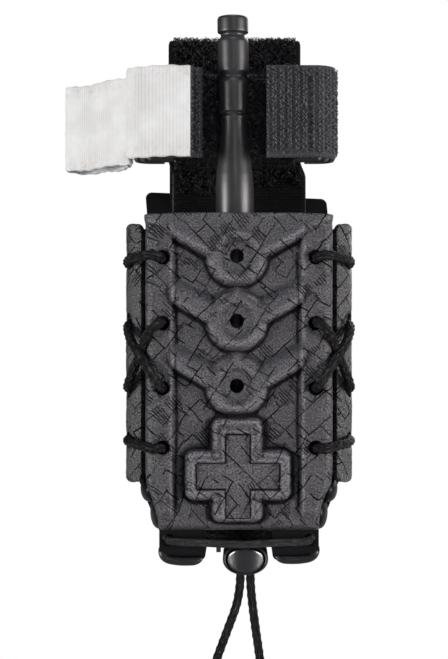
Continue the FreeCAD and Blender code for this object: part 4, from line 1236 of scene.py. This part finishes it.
def lock_ring(half_x, half_z, y):
    """Rounded shield outline: fuller above, tapering below."""
    angle = np.linspace(0, 2 * pi, 96, endpoint=False)
    c, s = np.cos(angle), np.sin(angle)
    x = half_x * np.sign(c) * abs(c) ** np.where(s > 0, 0.84, 0.97)
    z = half_z * np.sign(s) * abs(s) ** np.where(s > 0, 0.90, 1.0)
    return np.stack([LOCK_X + x, np.full(x.shape, y), LOCK_Z + z], -1)


def cut_passage(obj, front, back):
    """Cuts the cord passage from front to back in Y and right through in Z."""
    mesh = Mesh()
    mesh.add_verts([(x, y, z) for x in (LOCK_X - CORD_PASSAGE, LOCK_X + CORD_PASSAGE)
                    for y in (front, back) for z in (LOCK_Z - 6, LOCK_Z + 6)])
    mesh.add_quads([(0, 1, 3, 2), (4, 6, 7, 5), (0, 4, 5, 1), (2, 3, 7, 6), (0, 2, 6, 4),
                    (1, 5, 7, 3)])
    cut(obj, mesh.build("cutter"))
    smooth_by_angle(obj, 32)


def lock_shell():
    half_x, half_z = 6.35, 4.35
    back_y, floor_y = -19.4, -20.8
    # share of the outline's size and y, from the back round the front rim to the inner floor
    section = [(0.6, back_y), (0.86, -19.6), (0.97, -20.2), (1.0, -21.2), (1.0, -35.2),
               (0.985, -35.9), (0.945, -36.3), (0.905, -36.4), (0.875, -36.25),
               (0.862, -35.8), (0.858, -30), (0.858, floor_y)]
    rings = [lock_ring(half_x - (1 - share) * half_x, half_z - (1 - share) * half_x * 0.98, y)
             for share, y in section]
    mesh = Mesh()
    index = mesh.grid(np.array(rings), closed=True)
    mesh.fan(index[0], [LOCK_X, back_y, LOCK_Z])
    mesh.fan(index[-1], [LOCK_X, floor_y, LOCK_Z], flip=True)
    obj = mesh.build("lock_shell", LOCK_BODY, "lock_body_plastic")
    cut_passage(obj, LOCK_Y - 1.5, LOCK_Y + 1.5)
    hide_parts("lock_body")
    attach(obj, "carrier")


def lock_button():
    half_x, half_z = 5.34, 3.34
    rings = [lock_ring(half_x * share, half_z * share, y)
             for share, y in ((0.97, -25.0), (1, -25.3), (1, -35.2))]
    # the face is rolled across its width, with a softened rim
    for share in (1.0, 0.992, 0.975, 0.95, 0.9, 0.8, 0.66, 0.5, 0.33, 0.16, 0.05):
        ring = lock_ring(half_x * share, half_z * share, 0.0)
        roll = ((ring[:, 0] - LOCK_X) / half_x) ** 2
        rim = 0.55
        if share > 0.9:
            rim *= math.sqrt(max(0.0, 1 - ((share - 0.9) / 0.1) ** 2))
        ring[:, 1] = -35.4 - rim - 1.95 * (1 - roll)
        rings.append(ring)
    mesh = Mesh()
    index = mesh.grid(np.array(rings), closed=True, flip=True)
    mesh.fan(index[0], [LOCK_X, -25.0, LOCK_Z], flip=True)
    mesh.fan(index[-1], [LOCK_X, -37.9, LOCK_Z])
    obj = mesh.build("lock_button", LOCK_BUTTON, "lock_plunger_plastic")
    cut_passage(obj, LOCK_Y - 1.45 - 3.1, LOCK_Y + 1.42)
    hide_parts("lock_plunger")
    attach(obj, "plunger")


# =====================================================================
# windlass rod and ribbon
# =====================================================================
ROD_Y, ROD_Z = -29.2, 18.7
# radius and height above the middle, for the upper half
ROD_HALF = [
    (5.4, 0.0), (5.4, 21.0), (5.36, 23.0), (5.2, 25.5), (4.85, 28.2), (4.45, 31.0),
    (4.08, 33.9), (3.86, 36.4), (3.74, 38.6), (3.70, 41.2), (3.78, 41.35), (3.86, 41.8),
    (3.78, 42.25), (3.5, 42.45), (3.46, 42.9), (3.9, 43.3), (4.12, 43.6), (4.16, 51.9),
    (3.9, 52.4), (3.55, 52.8), (3.52, 53.5), (3.75, 53.8), (4.34, 54.7), (4.40, 55.1),
    (4.40, 63.2), (4.2, 63.8), (3.5, 64.5), (3.45, 65.2), (3.7, 65.5), (4.34, 65.8),
    (4.40, 66.1), (4.38, 69.6), (4.1, 70.2), (3.2, 70.45),
]


def slot_cutter():
    """A flat bar along X with rounded top and bottom, for the ribbon's slot."""
    half_tall, radius, half_long = 11.2, 0.85, 10
    outline = []
    for sign in (1, -1):
        outline += [(ROD_Y + sign * radius * sin(t), ROD_Z + sign * (half_tall + radius * cos(t)))
                    for t in np.linspace(-pi / 2, pi / 2, 13)]
    rings = np.array([[(BAND_X + sign * half_long, y, z) for y, z in outline]
                      for sign in (-1, 1)])
    mesh = Mesh()
    index = mesh.grid(rings, closed=True)
    mesh.fan(index[0], rings[0].mean(0))
    mesh.fan(index[1], rings[1].mean(0), flip=True)
    return mesh.build("cutter")


def windlass_rod():
    full = [(radius, -height) for radius, height in ROD_HALF[::-1]] + ROD_HALF[1:]
    corners = rounded_profile(full, radius=0.22, count=3)
    profile = [corners[0]]
    for point in corners[1:]:
        last = profile[-1]
        extra = int(abs(point[1] - last[1]) / 1.2)
        for k in range(1, extra + 1):
            t = k / (extra + 1)
            profile.append((last[0] * (1 - t) + point[0] * t, last[1] * (1 - t) + point[1] * t))
        profile.append(point)
    mesh = Mesh()
    lathe(mesh, profile, (BAND_X, ROD_Y, ROD_Z), segments=80)
    obj = mesh.build("rod_windlass", WINDLASS, "windlass_plastic")
    cut(obj, slot_cutter())
    smooth_by_angle(obj, 40)
    for vert in obj.data.vertices:  # the rod lies a touch out of square, in metres
        vert.co.x -= 0.0105 * (vert.co.z - 0.046)
        vert.co.z -= 0.00045
    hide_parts("windlass_rod")
    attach(obj, "windlass")


def inner_ribbon():
    """Ribbon through the rod's slot, lying further back on both sides."""
    back_y = -20.55
    points = [(BAND_X - 17.0, back_y), (BAND_X - 9.8, back_y), (BAND_X - 7.4, ROD_Y),
              (BAND_X + 7.4, ROD_Y), (BAND_X + 9.8, back_y), (BAND_X + 17.0, back_y)]
    obj = strip("ribbon_inner", RIBBON, points, [1.6, 1.3, 1.3, 1.6], thickness=0.9,
                low=ROD_Z - 10, high=ROD_Z + 10, step=0.5, width_step=0.8, edge=0.4,
                slot="ribbon_fabric")
    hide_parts("inner_ribbon")
    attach(obj, "windlass")


# =====================================================================
# band, with loop pile
# =====================================================================
LAYER_Y = (-19.0, -15.4, -11.8, -8.2)  # the four upright layers, front to back
BAND_TOP = 83.0
# y, z along the folded band, and the radius of each fold's corners
BAND_PATH = [(-23.1, -34.0), (-23.1, -48.8), (LAYER_Y[0], -48.8), (LAYER_Y[0], BAND_TOP),
             (LAYER_Y[1], BAND_TOP), (LAYER_Y[1], -51.0), (LAYER_Y[2], -51.0),
             (LAYER_Y[2], 53.0), (LAYER_Y[3], 53.0), (LAYER_Y[3], -42.0)]
BAND_RADII = [2.04] * 2 + [1.79] * 6
BAND_LEFT, BAND_RIGHT = BAND_X - 19.1, BAND_X + 19.1
PILE_HALF, PILE_WIDTH = 17.4, 34.8


def lower_shift(y, z):
    """Low down, the front layers lie a little to the right."""
    return 1.5 * ease(-z, -49.0, -44.0) * ease(-y, 13.0, 15.0)


def band():
    def relief(length, width, side):
        inset = np.minimum(width - BAND_LEFT, BAND_RIGHT - width)
        return side * (0.10 * ease(1.9 - inset, 0, 0.5) - 0.05 * lumps(length, width, 5.0, 21))

    def wave(points, length, width):
        points[..., 0] += lower_shift(points[..., 1], points[..., 2])
        return points

    obj = strip("band_webbing", WEBBING, BAND_PATH, BAND_RADII, thickness=1.9, low=BAND_LEFT,
                high=BAND_RIGHT, step=1.0, width_step=1.1, edge=0.7,
                slot="band_fabric", arc_step=0.5, in_yz=True, relief=relief, wave=wave)
    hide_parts("band")
    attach(obj, "tourniquet")


def pile_roots():
    """Random root points and normals of the pile loops."""
    places, normals, lengths = sample_path(BAND_PATH, BAND_RADII, 1.0, 0.4)
    y, z = places[:, 0], places[:, 1]
    # lengths of the band that carry pile, on its outer side
    top = lengths[np.argmax(z)]
    on_front = (y < LAYER_Y[0] + 0.1) & (z > 38.5) & (lengths > 20)
    start = lengths[np.nonzero(on_front)[0][0]]
    end = top + (BAND_TOP - 30.0)
    rear = lengths[np.nonzero((lengths > end + 100) & (z > 40.0))[0]]
    spans = np.array([(start, top + 3.0), (top + 3.0, end), (rear[0] + 12.0, rear[-1])])
    density = np.array([4.4, 1.4, 1.4]) * 1.0  # loops per mm2
    sizes = spans[:, 1] - spans[:, 0]
    count = int((sizes * density).sum() * PILE_WIDTH)
    pick = rng.choice(len(spans), count, p=sizes * density / (sizes * density).sum())
    at = spans[pick, 0] + rng.random(count) * sizes[pick]
    x = BAND_X - PILE_HALF + PILE_WIDTH * rng.random(count)
    y, z = np.interp(at, lengths, y), np.interp(at, lengths, z)
    normal_y = np.interp(at, lengths, normals[:, 0])
    normal_z = np.interp(at, lengths, normals[:, 1])
    size = np.hypot(normal_y, normal_z)
    normal = np.stack([np.zeros(count), normal_y / size, normal_z / size], -1)
    # the clip's base lies over the band here, under the same pile
    front = (y < LAYER_Y[0] + 0.2)
    lift = np.where(front & (z > 47.6) & (z < 73.8), 2.65, 0.9)
    step = np.where(x < BAND_X - 6, -2.2, np.where(x > BAND_X + 6, 1.3, 0.0))
    keep = ~(front & (z < 41.5 + 1.2 * np.sin(x * 0.7) + step))  # ragged lower edge
    roots = np.stack([x + lower_shift(y, z), y, z], -1) + normal * lift[:, None]
    return roots[keep], normal[keep]


def band_pile():
    """Loops of thin filament, each an arch with a random lean."""
    roots, normal = pile_roots()
    count = len(roots)
    right = np.array([1.0, 0, 0])
    t = np.linspace(0, pi, 7)[None, :, None]
    height = (0.8 + 0.8 * rng.random(count))[:, None, None]
    width = (0.32 + 0.36 * rng.random(count))[:, None, None]
    heading = (rng.random(count) * 2 * pi)[:, None]
    tangent = np.cross(normal, right)
    across = right * np.cos(heading) + tangent * np.sin(heading)
    lean = rng.normal(0, 0.45, (count, 2))
    rise = normal + right * lean[:, :1] + tangent * lean[:, 1:]
    rise /= np.linalg.norm(rise, axis=1)[:, None]
    curves = (roots[:, None] + across[:, None] * (np.cos(t) * width)
              + rise[:, None] * (np.sin(t) * height - 0.25))
    add_filaments("band_pile", PILE, curves, 0.09, "band_fabric", "tourniquet")


def pile_ground():
    """The pile cloth that covers the clip's base."""
    xs, zs = np.linspace(BAND_X - 17.3, BAND_X + 17.3, 60), np.linspace(46.2, 75.0, 50)
    x, z = np.meshgrid(xs, zs, indexing="ij")
    lift = 1.0 + 1.75 * ease(z, 46.4, 48.4) * ease(-z, -74.8, -72.8)
    y = LAYER_Y[0] - lift - 0.12 * lumps(x, z, 2.0, 51)
    mesh = Mesh()
    rims = []
    for offset, flip in ((0, False), (0.35, True)):
        index = mesh.grid(np.stack([x, y + offset, z], -1), along=xs, across=zs, flip=flip)
        rims.append(np.concatenate([index[:-1, 0], index[-1, :-1], index[:0:-1, -1],
                                    index[0, :0:-1]]))
    front, back = rims
    mesh.add_quads(np.stack([front, back, np.roll(back, -1), np.roll(front, -1)], -1))
    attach(mesh.build("pile_ground", PILE, "band_fabric"), "tourniquet")


# =====================================================================
# windlass clip, hook wraps and their stitches
# =====================================================================
CLIP_LOW, CLIP_TOP = 48.0, 73.2
HOOK_RADII = [5.5, 4.4]


def windlass_clip():
    """C-shaped clip, open at the front."""
    front, back = -34.6, -20.85
    points = [(BAND_X - 9.4, front), (BAND_X - 26.4, front), (BAND_X - 26.4, back),
              (BAND_X + 26.4, back), (BAND_X + 26.4, front), (BAND_X + 9.4, front)]
    obj = strip("clip_windlass", WINDLASS, points, [4.0, 3.0, 3.0, 4.0], thickness=1.5,
                low=CLIP_LOW + 0.3, high=CLIP_TOP - 0.3, step=1.0, width_step=1.2, edge=0.6,
                slot="windlass_plastic", arc_step=0.4)
    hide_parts("windlass_clip")
    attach(obj, "tourniquet")


def hook_wrap(sign, side):
    points = [(BAND_X + sign * 8.9, -36.15), (BAND_X + sign * 27.95, -36.15),
              (BAND_X + sign * 27.95, -19.35), (BAND_X + sign * 20.2, -19.35)]
    top = CLIP_TOP + (0.6 if sign > 0 else 0.0)
    obj = strip("hook_tape_" + side, HOOK_TAPE, points, HOOK_RADII, thickness=1.2,
                low=CLIP_LOW, high=top, step=0.6, width_step=0.8, edge=0.45,
                slot="hook_fabric", arc_step=0.4,
                relief=lambda length, width, face: 0.05 * lumps(length, width, 4.0, 31) * face)
    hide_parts("hook_wrap_" + side)
    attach(obj, "tourniquet")
    hooks(sign, side, points, top)


def hooks(sign, side, points, top):
    """Rows of bent filaments on the wrap's outer face."""
    pitch = 1.06
    places, normals, lengths = sample_path(points, HOOK_RADII, 0.6, 0.4)
    normals = normals * (-sign)
    rows = np.arange(0.7, lengths[-1] - 9.0, pitch)
    columns = np.arange(CLIP_LOW + 1.7, top - 0.7, 0.98)
    at, z = np.meshgrid(rows, columns, indexing="ij")
    z = z + (np.arange(len(rows)) % 2)[:, None] * 0.49
    at, z = at.ravel(), z.ravel()
    at = at + rng.normal(0, 0.07, at.shape)
    z = z + rng.normal(0, 0.07, z.shape)
    keep = z < top - 0.5
    if side == "right":  # the sewn seam leaves a bare line
        keep &= abs(at - 12.6) > 0.35
    at, z = at[keep], z[keep]
    x, y = np.interp(at, lengths, places[:, 0]), np.interp(at, lengths, places[:, 1])
    normal = np.stack([np.interp(at, lengths, normals[:, 0]),
                       np.interp(at, lengths, normals[:, 1])], -1)
    normal /= np.linalg.norm(normal, axis=1)[:, None]
    count = len(at)
    base, flat = np.stack([x, y, z], -1), np.zeros(count)
    out = np.stack([normal[:, 0], normal[:, 1], flat], -1)
    tangent = np.stack([-normal[:, 1], normal[:, 0], flat], -1)
    row_sign = np.where((np.round(at / pitch).astype(int) % 2) == 0, 1.0, -1.0)[:, None]
    lean = row_sign * (0.75 + 0.3 * rng.random((count, 1)))
    up_or_down = rng.choice([-1.0, 1.0], (count, 1))
    heading = tangent * 0.55 * lean + np.array([0, 0, 1.0]) * up_or_down * 0.8
    heading /= np.linalg.norm(heading, axis=1)[:, None]
    height = 0.55 + 0.62 * (0.85 + 0.3 * rng.random((count, 1)))
    if side == "left":  # flattened where the white strap lies over them
        under = (x < -12.9) & (y < -22)
        height = np.where(under[:, None], 0.7, height)
    # reach along the tape and share of the height, from root to tip
    bend = [(0.0, 0.5), (0.02, 0.78), (0.12, 0.97), (0.32, 1.0), (0.5, 0.9), (0.58, 0.74)]
    curves = np.stack([base + heading * reach * 1.15 + out * (height * share)
                       for reach, share in bend], 1)
    add_filaments("hooks_" + side, HOOKS[side], curves, 0.15, "hook_fabric", "tourniquet",
                  sides=4)


def stitches(name, material, start, end, radius, pitch):
    """A straight row of stitches, each arching forwards out of the cloth."""
    fill, sink, jitter = 0.78, 0.25, 0.06  # share of the pitch, depth of the ends, scatter
    points = np.array([start, end], float)
    lengths = distances(points)
    total = lengths[-1]
    count = max(1, int(total / pitch))
    arch = (np.sin(np.linspace(0, pi, 7)) ** 0.7)[:, None]
    mesh = Mesh()
    for i in range(count):
        first = (i + 0.5 - fill / 2) * total / count
        last = (i + 0.5 + fill / 2) * total / count
        line = resample(points, lengths, np.linspace(first, last, 7))
        rise = arch * (radius * 0.9 + sink) - sink
        line = line + np.array([0, -1.0, 0]) * rise + rng.normal(0, jitter, 3)
        tube(mesh, line, radius, segments=6)
    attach(mesh.build(name, material, "hook_fabric"), "tourniquet")


def all_stitches():
    stitches("seam_right", BLACK_THREAD, (19.9, -36.78, CLIP_LOW + 2.6),
             (19.9, -36.78, CLIP_TOP - 2.6), radius=0.2, pitch=2.0)
    stitches("seam_left_tip", GREY_THREAD, (-10.9, -36.85, CLIP_LOW + 1.2),
             (-10.9, -36.85, CLIP_TOP - 3.0), radius=0.17, pitch=1.9)
    stitches("seam_left_tip2", GREY_THREAD, (-12.0, -36.85, CLIP_LOW + 1.4),
             (-12.0, -36.85, CLIP_TOP - 3.2), radius=0.17, pitch=1.9)
    stitches("seam_left_top", GREY_THREAD, (-12.6, -36.95, CLIP_TOP - 3.2),
             (-10.5, -36.85, CLIP_TOP - 3.0), radius=0.2, pitch=1.1)


# =====================================================================
# time strap
# =====================================================================
STRAP_Y = -37.75
# x, y along the strap, from its frayed end at the front to the free fold on the left
STRAP_PATH = [(-13.5, STRAP_Y), (-30.95, STRAP_Y), (-31.2, -18.6), (-53.6, 2.6),
              (-45.6, 12.2), (-34.6, -6.5), (-32.0, -13.6)]
STRAP_RADII = [7.0, 6.0, 4.4, 4.4, 6.0]


def time_strap():
    def ribs(length, width, side):
        height = (0.05 * lumps(length, width * 0.2, 1.1, 41)
                  + 0.06 * lumps(length, width * 0.6, 12.0, 42))
        return height * np.where(side != 0, 1.0, 0.35) * np.where(side < 0, -1, 1)

    def wave(points, length, width):
        # the worn edges wander and the free fold sags
        edge = ease(abs(width - 60.6), 9, 12.7)
        points[..., 2] += edge * (0.22 * np.sin(length * 0.33)
                                  + 0.12 * np.sin(length * 1.3 + 1))
        points[..., 2] += ease(length, 34, 60) * (-0.3 + 0.25 * np.sin(length * 0.11))
        return points

    obj = strip("tape_white", WHITE_TAPE, STRAP_PATH, STRAP_RADII, thickness=1.4,
                low=CLIP_LOW, high=CLIP_TOP + 0.2, step=0.28,
                width_step=0.7, edge=0.55, slot="white_fabric", relief=ribs, wave=wave)
    # both CAD nodes of the strap are shown by this one piece
    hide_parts("time_strap", "time_strap_tail")
    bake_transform(obj)


def strap_fray():
    """Loose yarns at the strap's cut end."""
    count = 130
    z = CLIP_LOW + 0.3 + (CLIP_TOP - CLIP_LOW - 0.4) * rng.random(count)
    y = STRAP_Y + (rng.random(count) - 0.5) * 1.2
    length = (0.35 + 0.9 * rng.random(count) ** 2)[:, None, None]
    t = np.linspace(0, 1, 5)[None, :, None]
    heading = np.stack([np.ones(count), rng.normal(0, 0.35, count) - 0.1,
                        rng.normal(0, 0.5, count)], -1)
    bend = np.stack([np.zeros(count), rng.normal(0, 0.4, count),
                     rng.normal(0, 0.6, count)], -1)
    roots = np.stack([np.full(count, -13.62), y, z], -1)
    curves = (roots[:, None] + heading[:, None] * (t * length)
              + bend[:, None] * (t ** 2 * length * 0.6))
    add_filaments("tape_fray", WHITE_THREAD, curves, 0.05, "white_fabric", "tourniquet")


# =====================================================================
# parts from their own CAD outlines, tray details and the lock's spring
# =====================================================================
# CAD node, object name, material, edge rounding in mm, slot, body
CAD_PARTS = (
    ("inner_tray", "tray_inner", TRAY, 0.5, "tray_plastic", "carrier"),
    ("clip_base", "belt_clip_base", CLIP, 0.4, "clip_plastic", "carrier"),
    ("clip_gate", "belt_clip_gate", CLIP, 0.45, "clip_plastic", "gate"),
    ("routing_buckle", "buckle_frame", CLIP, 0.35, "clip_plastic", "tourniquet"),
    ("band_tip", "band_tip_tab", CLIP, 0.35, "clip_plastic", "tourniquet"),
    ("clip_screws", "screw_heads", BLACK_STEEL, 0.12, "black_steel", "carrier"),
    ("clip_washers", "washer_rings", BLACK_STEEL, 0.08, "black_steel", "carrier"),
    ("tee_nuts", "nut_discs", BLACK_STEEL, 0.12, "black_steel", "carrier"),
    ("clip_hinge_pin", "hinge_pin", STEEL, 0.15, "steel", "carrier"),
    ("stabilising_plate", "plate_stiff", CLIP, 0.2, "clip_plastic", "tourniquet"),
)


def cad_parts():
    for node, name, material, width, slot, body in CAD_PARTS:
        obj = rounded_copy(node, name, material, width)
        if node == "inner_tray":
            for vert in obj.data.vertices:  # the top edge falls slightly to the right
                share = min(1.0, max(0.0, (vert.co.z - 0.030) / 0.006))
                vert.co.z -= share * vert.co.x * 0.038
                vert.co.x -= share * 0.0008
        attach(obj, body)


def finish_tray_part(mesh, name, material):
    obj = mesh.build(name, material, "tray_plastic")
    merge_close(obj)
    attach(obj, "carrier")


def tray_lips():
    """Rolled lips along the foot of the tray, with tapered ends."""
    right = [(21.9, -35.8, -59.6), (21.5, -35.9, -61.3), (20.2, -36.0, -62.9),
             (17.4, -36.0, -63.6), (13.6, -36.0, -63.7), (11.3, -35.9, -63.4),
             (10.2, -35.8, -62.6)]
    mesh = Mesh()
    for sign, drop in ((-1, -0.75), (1, -0.3)):
        centres = catmull([(sign * x, y, z + drop) for x, y, z in right], 0.4)
        i = np.arange(len(centres))
        from_end = np.minimum(i + 0.6, len(centres) - 0.4 - i)
        tube(mesh, centres, 1.2 * np.sqrt(np.clip(from_end / 7.0, 0.02, 1.0)), segments=24)
    # the lips take the lighter black of the painted highlight
    finish_tray_part(mesh, "tray_lips", TRAY_LIP_HIGHLIGHT)


def tray_shoulders():
    """Soft swellings where the tray's sides taper."""
    t = np.linspace(0, pi, 33)
    mesh = Mesh()
    for sign in (-1, 1):
        for x, z, half_x, half_z in ((25.2, -45.3, 3.1, 4.0), (22.7, -51.8, 2.8, 5.2)):
            profile = np.stack([np.sin(t) ** 0.8, -half_z * np.cos(t)], -1)
            lathe(mesh, profile, (sign * x, -21.5, z), segments=48, stretch=(half_x, 9.5))
    finish_tray_part(mesh, "tray_shoulders", TRAY)


def lock_spring():
    """Coil spring behind the button, built at rest; the real spring shortens as the button goes
    in.
    """
    turns, radius, pitch = 3, 1.45, 1.42
    t = np.linspace(0, turns, turns * 32 + 1)
    mesh = Mesh()
    tube(mesh, np.stack([LOCK_X + radius * np.cos(2 * pi * t), -25.6 + pitch * t,
                         LOCK_Z + radius * np.sin(2 * pi * t)], -1), 0.22, segments=12)
    obj = mesh.build("spring_coil", STEEL, "steel")
    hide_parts("lock_spring")
    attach(obj, "carrier")
    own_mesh(obj)


# =====================================================================
# stage, in metres and frame axes
# =====================================================================
def camera_split(tree, output_kind, seen_kind, other_kind):
    """Camera rays meet plain white; all other rays meet the node that is returned."""
    tree.nodes.clear()
    output = new_node(tree, output_kind)
    mix = new_node(tree, "ShaderNodeMixShader")
    path = new_node(tree, "ShaderNodeLightPath")
    seen = new_node(tree, seen_kind, {0: (1, 1, 1, 1), 1: 1.0})
    other = new_node(tree, other_kind)
    tree.links.new(path.outputs["Is Camera Ray"], mix.inputs[0])
    tree.links.new(other.outputs[0], mix.inputs[1])
    tree.links.new(seen.outputs[0], mix.inputs[2])
    tree.links.new(mix.outputs[0], output.inputs[0])
    return other


def floor():
    material = bpy.data.materials.new("floor_white")
    material.use_nodes = True
    diffuse = camera_split(material.node_tree, "ShaderNodeOutputMaterial",
                           "ShaderNodeEmission", "ShaderNodeBsdfDiffuse")
    diffuse.inputs[0].default_value = (0.55, 0.55, 0.56, 1)
    half, z = 14.0, -0.128
    mesh = bpy.data.meshes.new("floor")
    mesh.from_pydata([(-half, -half, z), (half, -half, z), (half, half, z), (-half, half, z)],
                     [], [(0, 1, 2, 3)])
    obj = bpy.data.objects.new("floor", mesh)
    bpy.context.scene.collection.objects.link(obj)
    mesh.materials.append(material)


def studio_world():
    world = bpy.data.worlds.new("studio")
    bpy.context.scene.world = world
    world.use_nodes = True
    ambient = camera_split(world.node_tree, "ShaderNodeOutputWorld",
                           "ShaderNodeBackground", "ShaderNodeBackground")
    ambient.inputs[0].default_value = (0.90, 0.95, 1, 1)
    ambient.inputs[1].default_value = 0.085


MIDDLE = (0, -0.02, 0.0)
# name, place, target, width, height, watts, colour
LIGHTS = (
    ("soft_left", (-0.90, -0.52, -0.06), MIDDLE, 0.40, 0.40, 13.0, (1, 0.985, 0.97)),
    ("soft_right", (0.92, -0.46, -0.04), MIDDLE, 0.55, 0.42, 15.0, (1, 0.965, 0.95)),
    ("soft_front", (0.15, -1.2, 0.45), MIDDLE, 0.3, 0.3, 0.9, (1, 0.99, 0.98)),
    ("soft_top", (0.0, -0.30, 0.90), MIDDLE, 0.5, 0.5, 2.6, (0.66, 0.80, 1.0)),
    ("soft_back", (0.35, 0.95, 0.45), (0, 0, 0), 0.9, 0.9, 7.0, (1, 1, 1)),
)


def lights():
    for name, place, target, width, height, watts, color in LIGHTS:
        light = bpy.data.lights.new(name, "AREA")
        light.shape = "RECTANGLE"
        light.size = width
        light.size_y = height
        light.energy = watts
        light.color = color
        obj = bpy.data.objects.new(name, light)
        bpy.context.scene.collection.objects.link(obj)
        obj.location = place
        obj.rotation_mode = "QUATERNION"
        obj.rotation_quaternion = (Vector(target) - Vector(place)).to_track_quat("-Z", "Y")


def camera():
    data = bpy.data.cameras.new("cam")
    obj = bpy.data.objects.new("cam", data)
    scene = bpy.context.scene
    scene.collection.objects.link(obj)
    obj.location = (0.0, (-468.5 + FRAME_Y) * MM, 0.0)
    obj.rotation_euler = (radians(90), 0, 0)
    data.lens = 84.8
    data.sensor_width = 36.0
    data.shift_x = -0.02276176
    data.shift_y = 0.000758725
    data.clip_start = 0.01
    data.clip_end = 60.0
    scene.camera = obj
    scene.view_settings.view_transform = "Standard"
    scene.view_settings.look = "None"


front_shell()
rear_shell()
for sign, side in SIDES:
    lace_and_tail(sign, side)
cross_cord()
lock_shell()
lock_button()
windlass_rod()
inner_ribbon()
band()
band_pile()
pile_ground()
windlass_clip()
for sign, side in SIDES:
    hook_wrap(sign, side)
all_stitches()
time_strap()
strap_fray()
cad_parts()
tray_lips()
tray_shoulders()
lock_spring()
floor()
studio_world()
lights()
camera()
